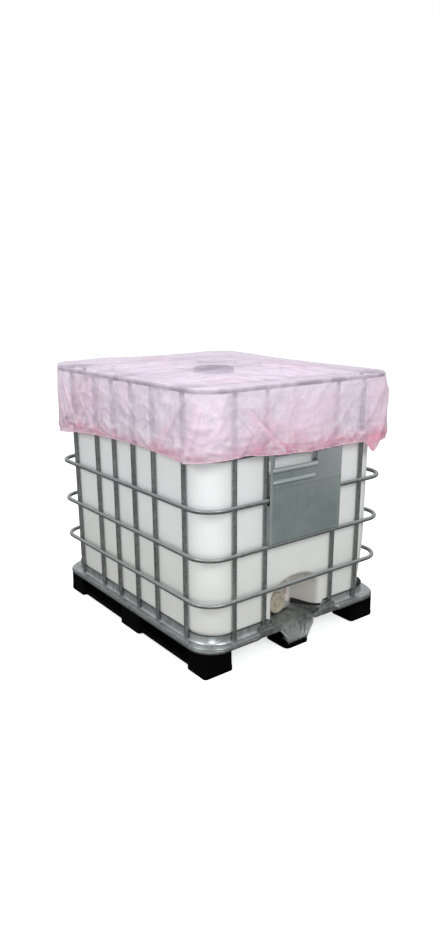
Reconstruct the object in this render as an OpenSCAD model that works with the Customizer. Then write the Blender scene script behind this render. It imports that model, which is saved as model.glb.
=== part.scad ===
// Intermediate bulk container: a blow-moulded bottle in a tubular cage on a low pallet,
// with a loose film cover over its top.
// Millimetres, +Z up. The origin is on the floor under the middle of the container.
// +X runs across the width, and the outlet valve faces -Y.

/* [Cage] */
// Width of the cage over its hoops
cage_w = 1000; // [960:1:1040]
// Depth of the cage over its hoops
cage_l = 1200; // [1160:1:1240]
// Outside diameter of the cage tube
tube_d = 18; // [16:0.5:20]
// Wall of the cage tube
tube_wall = 1.2; // [0.8:0.1:2]
// Bend radius of a hoop, at the axis of its tube
bend_r = 100; // [90:1:110]
// Height of the lower hoop's axis
lower_hoop_z = 305; // [295:1:325]
// Height of the middle hoop's axis
middle_hoop_z = 488; // [470:1:510]
// Height of the upper hoop's axis
upper_hoop_z = 675; // [655:1:695]
// Height of the shoulder hoop's axis
shoulder_hoop_z = 865; // [850:1:885]
// Height of the top rim's axis
rim_z = 1105; // [1085:1:1125]
// Side uprights: distance of the inner pair from the middle
side_inner = 77.5; // [60:0.5:90]
// Side uprights: distance of the second pair from the middle
side_second = 230; // [210:1:240]
// Side uprights: distance of the outer pair from the start of the bends
side_inset = 55; // [45:1:70]
// Front and back uprights: distance of the inner pair from the middle
front_inner = 187; // [180:1:195]
// Front and back uprights: distance of the outer pair from the start of the bends
front_inset = 52; // [42:1:66]
// Distance of each top cross bar from the second side uprights
bar_step = 32; // [24:1:60]
// Thickness of a flattened tube end
flat_t = 5; // [4:0.5:6]
// Width of a flattened tube end
flat_w = 26; // [24:0.5:28]

/* [Pallet] */
// Distance of the feet inside the cage's width
pallet_side_in = 18.5; // [12:0.5:30]
// Distance of the feet inside the cage's depth
pallet_end_in = 30.5; // [25:0.5:45]
// Height of the feet
skid_h = 98; // [92:1:110]
// Width of a corner foot
foot_w = 141; // [120:1:155]
// Length of a corner foot
foot_l = 125; // [105:1:140]
// Length of a middle foot
mid_foot_l = 160; // [120:1:200]
// Corner radius of the feet
foot_r = 22; // [10:1:30]
// Thickness of a runner
runner_t = 26; // [20:1:30]
// Height of a runner's underside over the floor
runner_lift = 9; // [5:0.5:12]
// Width of the centre skid
centre_w = 131; // [120:1:150]
// Thickness of the centre skid's front pad, which carries the leg
pad_t = 20; // [16:0.5:24]

/* [Base] */
// Diameter of the base ring's tube
base_d = 20; // [18:0.5:22]
// Sheet of the tray
tray_t = 1.5; // [1:0.1:2]
// Height of the tray
tray_h = 67; // [60:1:76]
// Distance of the base ring's ends at the valve from the inner front uprights
ring_end = 18; // [15:0.5:24]
// Sheet of the leg
leg_t = 2; // [1.5:0.1:2.5]
// Width of the leg's foot
leg_foot_w = 96; // [80:1:104]
// Width of the leg's trough at its top
leg_top_w = 188; // [176:1:200]
// Height of the leg's wings
wing_h = 48; // [42:1:54]

/* [Front plate] */
// Distance of the front plate's edges from the inner front uprights
plate_lap = 5; // [5:0.5:7]
// Height of the front plate
plate_h = 371; // [350:1:375]
// Sheet of the front plate
plate_t = 1.2; // [0.8:0.1:1.5]
// Width of the folded edges of the front plate
hem_w = 14; // [10:0.5:18]
// Width of the window in the front plate
window_w = 226; // [200:1:240]
// Height of the window in the front plate
window_h = 42; // [30:1:44]

/* [Bottle] */
// Wall of the bottle
bottle_wall = 2.2; // [1.5:0.1:3]
// Radius of the bottle's upright edges
bottle_corner_r = 105; // [95:1:115]
// Radius of the bottle's top and bottom edges
bottle_edge_r = 42; // [30:1:50]
// Width of the valve recess
recess_w = 262; // [250:1:276]
// Height of the recess's arch over the floor
recess_top_z = 312; // [302:1:322]
// Radius of the recess's upper corners
recess_r = 108; // [95:1:118]
// Depth of the valve recess
recess_depth = 196; // [190:1:205]
// Outside diameter of the fill neck
neck_d = 165; // [155:1:175]
// Wall of the fill neck
neck_wall = 7.5; // [5:0.5:10]
// Height of the fill neck
neck_h = 33; // [30:0.5:36]

/* [Lid] */
// Wall of the lid's skirt
lid_wall = 4.6; // [3:0.1:6]
// Thickness of the lid's top
lid_t = 7; // [5:0.5:9]
// Depth of the lid's skirt
skirt_h = 17; // [14:0.5:20]
// Thickness of the lid gasket
gasket_t = 4; // [3:0.5:5]

/* [Valve] */
// Height of the union nut over the tray's floor
outlet_lift = 2.5; // [1:0.5:10]
// Diameter of the flow passage
passage_d = 60; // [52:1:62]
// Outside diameter of the outlet neck on the bottle
outlet_neck_d = 72; // [70:0.5:76]
// Wall of the union nut
union_wall = 2.6; // [2:0.1:4]
// Wall of the outlet cap
cap_wall = 5.6; // [3:0.1:7]
// Diameter of the outlet thread under the cap
thread_d = 76; // [72:0.5:80]
// Diameter of the stem
stem_d = 14; // [12:0.5:16]
// Length of the handle from the stem's axis
handle_l = 84; // [80:1:88]
// Width of the handle
handle_w = 24; // [20:1:26]

/* [Film cover] */
// Height of the hem over the floor
hem_z = 838; // [825:1:845]
// Thickness of the film's stand-in
film_t = 1.2; // [0.8:0.1:2]
// Slope of the film round its edge, in degrees
film_slope = 8.6; // [8:0.1:10]
// Width of the sloping margin of the film's top
film_margin = 191; // [180:1:200]
// Width of the hem elastic
elastic_w = 5; // [4:0.5:7]
// Height of the hem elastic
elastic_h = 8; // [6:0.5:10]

/* [Hidden] */
$fn = 64;
far = 2000;
// Cuts run past a face by this much
over = 1;
// Gap between welded tubes, which only touch
weld_gap = 0.1;
// Gap of a loose seat, and of a thread
seat_gap = 0.4;
// Radial clearance of a turning stem
running_gap = 0.05;
screw_gap = 0.1;

// Axis rectangle of the hoops, and the planes of the uprights inside them
hoop_w = cage_w - tube_d;
hoop_l = cage_l - tube_d;
upright_x = hoop_w / 2 - tube_d - weld_gap;
upright_y = hoop_l / 2 - tube_d - weld_gap;
hoop_seam = 1;
side_outer = hoop_l / 2 - bend_r - side_inset;
front_outer = hoop_w / 2 - bend_r - front_inset;
side_rows = [-side_outer, -side_second, -side_inner, side_inner, side_second, side_outer];
front_rows = [-front_outer, -front_inner, front_inner, front_outer];
back_rows = [-front_outer, -front_inner, 0, front_inner, front_outer];

// The tray fits inside the uprights, and the bottle inside the tray
tray_w = 2 * upright_x - tube_d - 2 * seat_gap;
tray_l = 2 * upright_y - tube_d - 2 * seat_gap;
bottle_gap = 1;
bottle_w = tray_w - 2 * tray_t - 2 * bottle_gap;
bottle_l = tray_l - 2 * tray_t - 2 * bottle_gap;
tray_r = bottle_corner_r + bottle_gap + tray_t;
tray_floor_z = skid_h + tray_t;
tray_top_z = skid_h + tray_h;

// The base ring hangs under the tray's flange, its outside flush with the hoops
base_rise = 6;
base_z = skid_h + base_rise + base_d / 2;
base_w = cage_w - base_d;
base_l = cage_l - base_d;
base_bend_r = bend_r + (tube_d - base_d) / 2;
flange_z = base_z + base_d / 2 + weld_gap;
flange_inset = 3;
upright_foot_z = flange_z + tray_t + weld_gap;
flat_h = 20;
flat_lap = 6;
upright_tube_z = upright_foot_z + flat_h;
upright_past_rim = 3;
upright_top_z = rim_z + upright_past_rim;

// The leg's front sheet lies between the inner front uprights and the ends of the base ring
wing_gap = 0.6;
wing_y = upright_y + flat_t / 2 + wing_gap;
valve_gap = 2 * (front_inner + ring_end);
wing_lap = 12;
wing_x = valve_gap / 2 + wing_lap;
wing_lift = 4;
wing_foot_z = skid_h + wing_lift;
wing_top_z = wing_foot_z + wing_h;
trough_ledge = 10;
wing_inner = leg_top_w / 2 - trough_ledge;
gate_gap = 2;
gate_foot_z = wing_foot_z + gate_gap;
gate_tube_z = wing_top_z + gate_gap;
edge_strip = 10;
tongue_h = 30;
tongue_l = 56;
tongue_lap = 2;
tongue_t = cage_l / 2 - base_d + tongue_lap - wing_y - leg_t;
heel_y = 8;
heel_in = 14;
heel_l = 52;
leg_screw_x = 18;
leg_screw_back = 24;
leg_screw_y = -wing_y + heel_y + leg_screw_back;
leg_screw_head_d = 14;

// Skids and their screws
skid_x = cage_w / 2 - pallet_side_in - foot_w / 2;
corner_foot_y = cage_l / 2 - pallet_end_in - foot_l / 2;
pad_proud = 2.5;
centre_front_y = wing_y + leg_t + pad_proud;
pad_l = 140;
screw_d = 8;
screw_head_d = 18;
screw_head_h = 6;
counterbore_d = 22;
nut_d = 17.4;
nut_h = 8;
screw_grip = 36;
bolt_seat_z = skid_h - screw_grip;
side_feet = [-corner_foot_y, 0, corner_foot_y];
screw_places = [
    for (y = side_feet, x = [-skid_x, skid_x]) [x, y],
    [0, 0], [0, corner_foot_y]
];
leg_screw_h = 14;

// Top of the bottle: the cross bars lie on it, under the rim
bar_y = side_second + bar_step;
bar_z = rim_z - tube_d - weld_gap;
deck_z = bar_z - tube_d / 2 - weld_gap;
bottle_h = deck_z - tray_floor_z;
bar_screw_head = 5;
bar_head_d = 14;
bar_end_gap = 2;
neck_top_z = deck_z + neck_h;
mouth_d = neck_d - 2 * neck_wall;
collar_w = 20;
collar_d = neck_d + 2 * collar_w;
lid_under_z = neck_top_z + gasket_t;
lid_inner_d = neck_d + 2 * seat_gap;
lid_d = lid_inner_d + 2 * lid_wall;
lid_ribs = 16;
lid_rib = 3;

// Valve, measured out from the back wall of the recess
recess_y = -bottle_l / 2 + recess_depth;
neck_len = 18;
washer_t = 3;
body_start = neck_len + washer_t;
body_flange_t = 6;
body_flange_rim = 3;
body_flange_d = outlet_neck_d + 2 * body_flange_rim;
barrel_d = outlet_neck_d;
barrel_l = 37;
thread_start = body_start + barrel_l;
thread_l = 21;
body_end = thread_start + thread_l;
lug_h = 2;
lug_w = 11;
lug_in = 1.5;
union_start = 8;
union_lip = 3.5;
union_end = body_start + body_flange_t + seat_gap + union_lip;
union_core_d = body_flange_d + 2 * seat_gap + 2 * union_wall;
union_lugs = 8;
outlet_z = tray_floor_z + outlet_lift + union_core_d / 2 + lug_h;
cap_skirt = 20;
cap_washer_t = 2;
cap_end_t = 4;
cap_lugs = 6;
cap_core_d = thread_d + 2 * seat_gap + 2 * cap_wall;
cap_start = body_end + cap_washer_t - cap_skirt;
stem_back = 24.5;
stem_at = body_start + stem_back;
boss_d = stem_d + 14;
boss_h = 10;
boss_top_z = outlet_z + barrel_d / 2 + boss_h;
seal_d = stem_d + 8;
seal_h = 4;
stem_side = stem_d * 0.7;
stem_head_h = 10;
hub_lift = 2;
hub_z = boss_top_z + hub_lift;
hub_h = 12;
hub_d = 32;
stem_top_z = hub_z + stem_head_h;
arm_rise = 2;
handle_t = 8;
handle_end_t = 6;
handle_drop = 67;
handle_drop_z = hub_z + arm_rise + handle_t - handle_drop;
grip_w = 24;
grip_h = 22;
handle_screw_d = 5;
handle_screw_head_d = 12;
handle_screw_head_h = 4;
handle_screw_l = 10;
disc_gap = 0.6;
disc_t = 6;
disc_hub_d = stem_d + 8;
disc_hub_gap = 4;
stem_foot_rise = 8;
stem_foot_z = outlet_z + stem_foot_rise;

// The leg's trough hangs under the tray's floor, from the cap to the foot
trough_back_y = cap_start - recess_y - over;
trough_tuck = 12;
trough_lip_z = skid_h - weld_gap;
trough_wall = 4;
trough_mid_z = (skid_h + pad_t) / 2;
trough_mid_w = (leg_top_w + leg_foot_w) / 4;
// Steps of the trough from its back to its foot: its floor's y, z and half width,
// then its lips' y, z and half width
trough = [
    [-trough_back_y + trough_tuck, trough_lip_z - trough_wall, leg_top_w / 2 - 18,
        -trough_back_y + trough_tuck, trough_lip_z, leg_top_w / 2 - 6],
    [-wing_y + 78, trough_lip_z - 14, leg_top_w / 2 - 20, -wing_y + 63, trough_lip_z, leg_top_w / 2 - 4],
    [-wing_y + 46, trough_lip_z - 36, leg_top_w / 2 - 34, -wing_y - leg_t / 2, trough_lip_z, leg_top_w / 2],
    [-wing_y + 24, trough_mid_z - 20, trough_mid_w - 26, -wing_y - leg_t / 2, trough_mid_z, trough_mid_w],
    [-wing_y + heel_y, pad_t + leg_t, leg_foot_w / 2 - heel_in, -wing_y - leg_t / 2, pad_t, leg_foot_w / 2]
];

// Front plate, in front of the hoops
plate_gap = 0.2;
plate_w = 2 * (front_inner + plate_lap);
plate_y = -cage_l / 2 - plate_gap;
plate_z = middle_hoop_z + tube_d / 2 + plate_gap;
plate_hem_t = 3;
lip_w = 12;
lip_notch = 6;
lip_y = -upright_y - tube_d / 2 - weld_gap;
rivet_d = 5;
rivet_head_d = 7;
rivet_head_h = 2;
window_in = 6;
window_drop = 26;
window_x = -plate_w / 2 + hem_w + window_in;
window_z = plate_z + plate_h - window_h - window_drop;
rib_rise = 3;
rib_r = 8;
rib_drop = 12;
rib_step = 46;

// Film cover: clear of the hoops and the plate, resting on the rim
cover_gap = 4.5;
elastic_gap = 4;
film_rest = 0.35;
film_r = bend_r + tube_d / 2 + cover_gap;
film_reach = tube_d / 2 + film_rest;
film_edge_z = rim_z + (film_reach - (tube_d / 2 + cover_gap) * sin(film_slope)) / cos(film_slope);
film_crown_z = rim_z + (film_reach + film_margin * sin(film_slope)) / cos(film_slope);

galvanised = [0.52, 0.55, 0.54];
sheet_grey = [0.48, 0.52, 0.52];
tank_white = [0.92, 0.93, 0.92];
skid_black = [0.05, 0.05, 0.06];
cream = [0.86, 0.82, 0.70];
rubber_black = [0.1, 0.1, 0.1];
lid_grey = [0.35, 0.36, 0.45];
film_pink = [0.93, 0.76, 0.85];

// Rectangle with round corners, in the plane
module round_rect(w, l, r) {
    square([w - 2 * r, l], center = true);
    square([w, l - 2 * r], center = true);
    for (sx = [-1, 1], sy = [-1, 1])
        translate([sx * (w / 2 - r), sy * (l / 2 - r)]) circle(r = r);
}

// Flat ring between two rounded rectangles
module round_frame(w, l, r, band) {
    difference() {
        round_rect(w, l, r);
        round_rect(w - 2 * band, l - 2 * band, r - band);
    }
}

module pipe_section(d, wall) {
    difference() {
        circle(d = d);
        circle(d = d - 2 * wall);
    }
}

// Straight tube along +Z
module tube(d, wall, length) {
    linear_extrude(height = length) pipe_section(d, wall);
}

// Washer along +Z
module washer(outer, inner, h) {
    difference() {
        cylinder(d = outer, h = h);
        translate([0, 0, -over]) cylinder(d = inner, h = h + 2 * over);
    }
}

// Quarter bends of a tube at the named corners of an axis rectangle
module bends(w, l, r, d, wall, corners) {
    for (c = corners)
        translate([c[0] * (w / 2 - r), c[1] * (l / 2 - r), 0])
            rotate([0, 0, c[2]])
                rotate_extrude(angle = 90) translate([r, 0]) pipe_section(d, wall);
}

// The two long sides of a tube ring
module ring_sides(w, l, r, d, wall) {
    for (sx = [-1, 1])
        translate([sx * w / 2, -l / 2 + r, 0]) rotate([-90, 0, 0]) tube(d, wall, l - 2 * r);
}

all_corners = [[1, 1, 0], [-1, 1, 90], [-1, -1, 180], [1, -1, 270]];

// Closed tube ring with a butt seam in the middle of its back
module hoop(z) {
    translate([0, 0, z]) {
        bends(hoop_w, hoop_l, bend_r, tube_d, tube_wall, all_corners);
        ring_sides(hoop_w, hoop_l, bend_r, tube_d, tube_wall);
        translate([-hoop_w / 2 + bend_r, -hoop_l / 2, 0])
            rotate([0, 90, 0]) tube(tube_d, tube_wall, hoop_w - 2 * bend_r);
        for (s = [-1, 1])
            translate([s * hoop_seam / 2, hoop_l / 2, 0])
                rotate([0, s * 90, 0]) tube(tube_d, tube_wall, hoop_w / 2 - bend_r - hoop_seam / 2);
    }
}

// Upright with its foot pressed flat, the flat facing +X and -X
module upright(foot_z, tube_z) {
    translate([0, 0, tube_z]) tube(tube_d, tube_wall, upright_top_z - tube_z);
    translate([-flat_t / 2, -flat_w / 2, foot_z]) cube([flat_t, flat_w, tube_z + flat_lap - foot_z]);
}

// Foot of a skid, with the screw's counterbore below and the nut's pocket above
module foot(w, l, r) {
    difference() {
        linear_extrude(height = skid_h) round_rect(w, l, r);
        translate([0, 0, -over]) cylinder(d = counterbore_d, h = bolt_seat_z + over);
        cylinder(d = screw_d + 2 * screw_gap, h = skid_h + over);
        translate([0, 0, skid_h - nut_h - over]) cylinder(d = nut_d + 2 * seat_gap, h = nut_h + 2 * over);
    }
}

module side_skid() {
    for (y = side_feet)
        translate([0, y, 0]) foot(foot_w, y == 0 ? mid_foot_l : foot_l, foot_r);
    run = corner_foot_y - foot_l / 2 - mid_foot_l / 2;
    for (s = [-1, 1])
        translate([0, s * (mid_foot_l + run) / 2, runner_lift])
            linear_extrude(height = runner_t) square([foot_w - foot_r, run + 2 * foot_r], center = true);
}

module left_skid() {
    color(skid_black) translate([-skid_x, 0, 0]) side_skid();
}

module right_skid() {
    color(skid_black) translate([skid_x, 0, 0]) side_skid();
}

module centre_skid() {
    back_foot = corner_foot_y;
    front_run = -centre_front_y + pad_l;
    color(skid_black) difference() {
        union() {
            foot(centre_w, mid_foot_l, foot_r);
            translate([0, back_foot, 0]) foot(centre_w, foot_l, foot_r);
            translate([0, -centre_front_y + pad_l / 2, 0])
                linear_extrude(height = pad_t) round_rect(centre_w, pad_l, foot_r);
            translate([-(centre_w - foot_r) / 2, front_run - foot_r, runner_lift])
                cube([centre_w - foot_r, -mid_foot_l / 2 - front_run + 2 * foot_r, pad_t - runner_lift]);
            translate([-(centre_w - foot_r) / 2, mid_foot_l / 2 - foot_r, runner_lift])
                cube([centre_w - foot_r, back_foot - foot_l / 2 - mid_foot_l / 2 + 2 * foot_r, runner_t]);
        }
        for (s = [-1, 1])
            translate([s * leg_screw_x, leg_screw_y, pad_t - leg_screw_h - over])
                cylinder(d = screw_d + 2 * screw_gap, h = leg_screw_h + 2 * over);
    }
}

// Screws from below, through the feet into the weld nuts
module skid_screws() {
    color(galvanised) for (p = screw_places) translate([p[0], p[1], 0]) {
        translate([0, 0, bolt_seat_z - screw_head_h]) cylinder(d = screw_head_d, h = screw_head_h);
        translate([0, 0, bolt_seat_z - over]) cylinder(d = screw_d, h = screw_grip);
    }
}

// Nuts welded under the tray's floor
module weld_nuts() {
    color(galvanised) for (p = screw_places) translate([p[0], p[1], skid_h - nut_h])
        difference() {
            cylinder(d = nut_d, h = nut_h, $fn = 6);
            translate([0, 0, -over]) cylinder(d = screw_d + 2 * screw_gap, h = nut_h + 2 * over);
        }
}

// Pan with a flange round it; both are cut away at the valve
module base_tray() {
    color(galvanised) difference() {
        union() {
            translate([0, 0, skid_h]) linear_extrude(height = tray_t) round_rect(tray_w, tray_l, tray_r);
            translate([0, 0, skid_h]) linear_extrude(height = tray_top_z - skid_h)
                round_frame(tray_w, tray_l, tray_r, tray_t);
            translate([0, 0, flange_z]) linear_extrude(height = tray_t) difference() {
                round_rect(cage_w - 2 * flange_inset, cage_l - 2 * flange_inset,
                    bend_r + tube_d / 2 - flange_inset);
                round_rect(tray_w - tray_t, tray_l - tray_t, tray_r - tray_t / 2);
            }
        }
        translate([-wing_x - over, -cage_l, flange_z - over])
            cube([2 * wing_x + 2 * over, cage_l - tray_l / 2, tray_t + 2 * over]);
        translate([-recess_w / 2, -cage_l, wing_top_z])
            cube([recess_w, cage_l - tray_l / 2 + tray_t + over, far]);
        translate([-wing_inner, -cage_l, skid_h - over])
            cube([2 * wing_inner, cage_l - trough_back_y, far]);
    }
}

// Tube round the tray, with a flattened tongue at each end
module base_ring() {
    run = base_w / 2 - base_bend_r - valve_gap / 2;
    color(galvanised) translate([0, 0, base_z]) {
        bends(base_w, base_l, base_bend_r, base_d, tube_wall, all_corners);
        ring_sides(base_w, base_l, base_bend_r, base_d, tube_wall);
        translate([-base_w / 2 + base_bend_r, base_l / 2, 0])
            rotate([0, 90, 0]) tube(base_d, tube_wall, base_w - 2 * base_bend_r);
        for (s = [-1, 1]) {
            translate([s * valve_gap / 2, -base_l / 2, 0])
                rotate([0, s * 90, 0]) tube(base_d, tube_wall, run);
            translate([s * (valve_gap / 2 - tongue_l / 2), -wing_y - leg_t - tongue_t / 2, 0])
                cube([tongue_l + 2 * tongue_lap, tongue_t, tongue_h], center = true);
        }
    }
}

// One side of the leg's front sheet: a wing, and a strip down the edge of the trough
function wing_outline() = [
    [wing_x, wing_top_z], [wing_x, wing_foot_z], [leg_top_w / 2 + edge_strip, wing_foot_z],
    [leg_foot_w / 2 + edge_strip, pad_t], [leg_foot_w / 2, pad_t], [leg_top_w / 2, trough_lip_z],
    [wing_inner, trough_lip_z + edge_strip], [wing_inner, wing_top_z]
];

// Points of one trough station: the outside of its channel, then the inside, both from -X to +X
function trough_ring(s) = [
    [-s[5] - leg_t, s[3], s[4]], [-s[2] - leg_t, s[0] + leg_t, s[1] - leg_t],
    [s[2] + leg_t, s[0] + leg_t, s[1] - leg_t], [s[5] + leg_t, s[3], s[4]],
    [s[5], s[3], s[4]], [s[2], s[0], s[1]], [-s[2], s[0], s[1]], [-s[5], s[3], s[4]]
];

// Channel lofted through the stations; each quad is split so that the inside follows the outside
module leg_trough() {
    n = 8;
    rings = [for (s = trough) trough_ring(s)];
    last = len(trough) - 1;
    polyhedron(
        points = [for (r = rings, p = r) p],
        faces = concat(
            [[0, 1, 6, 7], [1, 2, 5, 6], [2, 3, 4, 5]],
            [for (f = [[7, 6, 1, 0], [6, 5, 2, 1], [5, 4, 3, 2]]) [for (i = f) last * n + i]],
            [for (k = [0:last - 1], i = [0:3]) [k * n + i, k * n + n + i + 1, k * n + i + 1]],
            [for (k = [0:last - 1], i = [0:3]) [k * n + i, k * n + n + i, k * n + n + i + 1]],
            [for (k = [0:last - 1], i = [4:7]) [k * n + i, k * n + n + i, k * n + (i + 1) % n]],
            [for (k = [0:last - 1], i = [4:7])
                [k * n + (i + 1) % n, k * n + n + i, k * n + n + (i + 1) % n]]
        )
    );
}

module front_leg() {
    color(sheet_grey) difference() {
        union() {
            leg_trough();
            for (s = [0, 1]) mirror([s, 0, 0])
                translate([0, -wing_y, 0]) rotate([90, 0, 0])
                    linear_extrude(height = leg_t) polygon(wing_outline());
            translate([-leg_foot_w / 2 + heel_in, -wing_y + heel_y - leg_t, pad_t])
                cube([leg_foot_w - 2 * heel_in, heel_l, leg_t]);
        }
        for (s = [-1, 1])
            translate([s * leg_screw_x, leg_screw_y, pad_t - over])
                cylinder(d = screw_d + 2 * screw_gap, h = leg_t + 2 * over);
    }
}

module leg_screws() {
    color(galvanised) for (s = [-1, 1]) translate([s * leg_screw_x, leg_screw_y, 0]) {
        translate([0, 0, pad_t + leg_t]) cylinder(d = leg_screw_head_d, h = screw_head_h, $fn = 6);
        translate([0, 0, pad_t - leg_screw_h]) cylinder(d = screw_d, h = leg_screw_h + leg_t + over);
    }
}

module lower_hoop() {
    color(galvanised) hoop(lower_hoop_z);
}

module middle_hoop() {
    color(galvanised) hoop(middle_hoop_z);
}

module upper_hoop() {
    color(galvanised) hoop(upper_hoop_z);
}

module shoulder_hoop() {
    color(galvanised) hoop(shoulder_hoop_z);
}

// Places of the cross bars' screws
bar_screw_places = [for (sx = [-1, 1], sy = [-1, 1]) [sx * hoop_w / 2, sy * bar_y]];

// Rim with a hole in its underside over each cross bar's end
module top_rim() {
    color(galvanised) difference() {
        hoop(rim_z);
        for (p = bar_screw_places)
            translate([p[0], p[1], rim_z - tube_d]) cylinder(d = screw_d + 2 * screw_gap, h = tube_d);
    }
}

module left_uprights() {
    color(galvanised) for (y = side_rows)
        translate([-upright_x, y, 0]) upright(upright_foot_z, upright_tube_z);
}

module right_uprights() {
    color(galvanised) for (y = side_rows)
        translate([upright_x, y, 0]) upright(upright_foot_z, upright_tube_z);
}

// Places of the plate's rivets on the inner front uprights
rivet_places = [
    for (s = [-1, 1], z = [plate_z + plate_h / 4, plate_z + plate_h * 3 / 4]) [s * front_inner, z]
];

// The inner pair stands behind the leg's wings and carries the plate's rivets
module front_uprights() {
    color(galvanised) difference() {
        for (x = front_rows) {
            gate = abs(x) < wing_x;
            translate([x, -upright_y, 0]) rotate([0, 0, 90])
                upright(gate ? gate_foot_z : upright_foot_z, gate ? gate_tube_z : upright_tube_z);
        }
        for (p = rivet_places)
            translate([p[0], -upright_y, p[1]]) rotate([90, 0, 0])
                cylinder(d = rivet_d + 2 * screw_gap, h = tube_d);
    }
}

module back_uprights() {
    color(galvanised) for (x = back_rows)
        translate([x, upright_y, 0]) rotate([0, 0, 90]) upright(upright_foot_z, upright_tube_z);
}

// Tube across the top, under the rim, drilled for a screw at each end
module cross_bar(y) {
    length = cage_w - 2 * bar_end_gap;
    difference() {
        translate([-length / 2, y, bar_z]) rotate([0, 90, 0]) tube(tube_d, tube_wall, length);
        for (s = [-1, 1])
            translate([s * hoop_w / 2, y, bar_z - tube_d])
                cylinder(d = screw_d + 2 * screw_gap, h = 2 * tube_d);
    }
}

module front_cross_bar() {
    color(galvanised) cross_bar(-bar_y);
}

module back_cross_bar() {
    color(galvanised) cross_bar(bar_y);
}

// Screws from below, through the bar's end into the rim
module bar_screws() {
    color(galvanised) for (p = bar_screw_places) translate([p[0], p[1], bar_z - tube_d / 2]) {
        translate([0, 0, -bar_screw_head]) cylinder(d = bar_head_d, h = bar_screw_head, $fn = 6);
        translate([0, 0, -over]) cylinder(d = screw_d, h = tube_d + tube_d / 2 + over);
    }
}

// Round-backed rib pressed out of the plate
module plate_rib(z, length) {
    intersection() {
        translate([window_x, plate_y - plate_t + rib_r - rib_rise, z])
            rotate([0, 90, 0]) cylinder(r = rib_r, h = length);
        translate([window_x - over, plate_y - plate_t - rib_r, z - rib_r])
            cube([length + 2 * over, plate_t / 2 + rib_r, 2 * rib_r]);
    }
}

// Folded edge at one side: a thick hem in front, a wall past the hoops and a lip on the upright
module plate_edge() {
    wall_l = lip_y - plate_y;
    translate([plate_w / 2 - hem_w, plate_y - plate_hem_t, plate_z]) cube([hem_w, plate_hem_t, plate_h]);
    difference() {
        union() {
            translate([plate_w / 2 - plate_t, plate_y - plate_t, plate_z])
                cube([plate_t, wall_l + plate_t, plate_h]);
            translate([plate_w / 2 - lip_w, lip_y - plate_t, plate_z]) cube([lip_w, plate_t, plate_h]);
        }
        for (z = [upper_hoop_z, shoulder_hoop_z])
            translate([0, plate_y, z - tube_d / 2 - lip_notch])
                cube([plate_w, far, tube_d + 2 * lip_notch]);
    }
}

module front_plate() {
    color(sheet_grey) difference() {
        union() {
            translate([-plate_w / 2, plate_y - plate_t, plate_z]) cube([plate_w, plate_t, plate_h]);
            for (s = [0, 1]) mirror([s, 0, 0]) plate_edge();
            for (k = [0, 1]) plate_rib(window_z - rib_drop - k * rib_step, window_w);
        }
        translate([window_x, plate_y - 2 * plate_t, window_z]) cube([window_w, 4 * plate_t, window_h]);
        for (p = rivet_places)
            translate([p[0], lip_y + over, p[1]]) rotate([90, 0, 0])
                cylinder(d = rivet_d + 2 * screw_gap, h = plate_t + 2 * over);
    }
}

module plate_rivets() {
    color(galvanised) for (p = rivet_places) translate([p[0], lip_y - plate_t, p[1]]) {
        rotate([90, 0, 0]) cylinder(d = rivet_head_d, h = rivet_head_h);
        translate([0, -over, 0]) rotate([-90, 0, 0]) cylinder(d = rivet_d, h = plate_t + tube_d / 4 + over);
    }
}

// Half section of a corner: upright outside wall with round top and bottom edges
module corner_profile(h, r, edge) {
    square([r - edge, h]);
    translate([0, edge]) square([r, h - 2 * edge]);
    for (z = [edge, h - edge]) translate([r - edge, z]) circle(r = edge);
}

// Box with large radii on its upright edges and smaller ones on its top and bottom edges
module soft_box(w, l, h, r, edge) {
    for (c = all_corners)
        translate([c[0] * (w / 2 - r), c[1] * (l / 2 - r), 0])
            rotate([0, 0, c[2]]) rotate_extrude(angle = 90) corner_profile(h, r, edge);
    translate([0, 0, h / 2]) rotate([90, 0, 0])
        linear_extrude(height = l - 2 * r, center = true) round_rect(w, h, edge);
    translate([0, 0, h / 2]) rotate([90, 0, 90])
        linear_extrude(height = w - 2 * r, center = true) round_rect(l, h, edge);
}

// Arched block that makes the valve recess, grown by a wall
module recess_block(grow) {
    half = recess_w / 2 + grow;
    top = recess_top_z + grow;
    r = recess_r + grow;
    translate([0, recess_y + grow, 0]) rotate([90, 0, 0])
        linear_extrude(height = recess_depth + bottle_gap + grow) {
            translate([-half, 0]) square([2 * half, top - r]);
            translate([-half + r, 0]) square([2 * half - 2 * r, top]);
            for (s = [-1, 1]) translate([s * (half - r), top - r]) circle(r = r);
        }
}

// Turns a shape made along +Z to point out of the recess along the outlet's axis
module along_outlet(start) {
    translate([0, recess_y - start, outlet_z]) rotate([90, 0, 0]) children();
}

// Outside of the bottle
module bottle_block() {
    translate([0, 0, tray_floor_z])
        soft_box(bottle_w, bottle_l, bottle_h, bottle_corner_r, bottle_edge_r);
}

// Walls and floor of the bottle, open at the deck and round the valve pocket
module bottle() {
    color(tank_white) difference() {
        bottle_block();
        translate([0, 0, tray_floor_z + bottle_wall])
            soft_box(bottle_w - 2 * bottle_wall, bottle_l - 2 * bottle_wall, bottle_h - 2 * bottle_wall,
                bottle_corner_r - bottle_wall, bottle_edge_r - bottle_wall);
        recess_block(bottle_wall);
        translate([0, 0, deck_z - 2 * bottle_wall]) linear_extrude(height = far) deck_outline();
    }
}

// Flat part of the bottle's top, in the plane
module deck_outline() {
    round_rect(bottle_w - 2 * bottle_edge_r, bottle_l - 2 * bottle_edge_r, bottle_corner_r - bottle_edge_r);
}

module bottle_deck() {
    color(tank_white) translate([0, 0, deck_z - bottle_wall]) linear_extrude(height = bottle_wall)
        difference() {
            deck_outline();
            circle(d = collar_d);
        }
}

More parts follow.
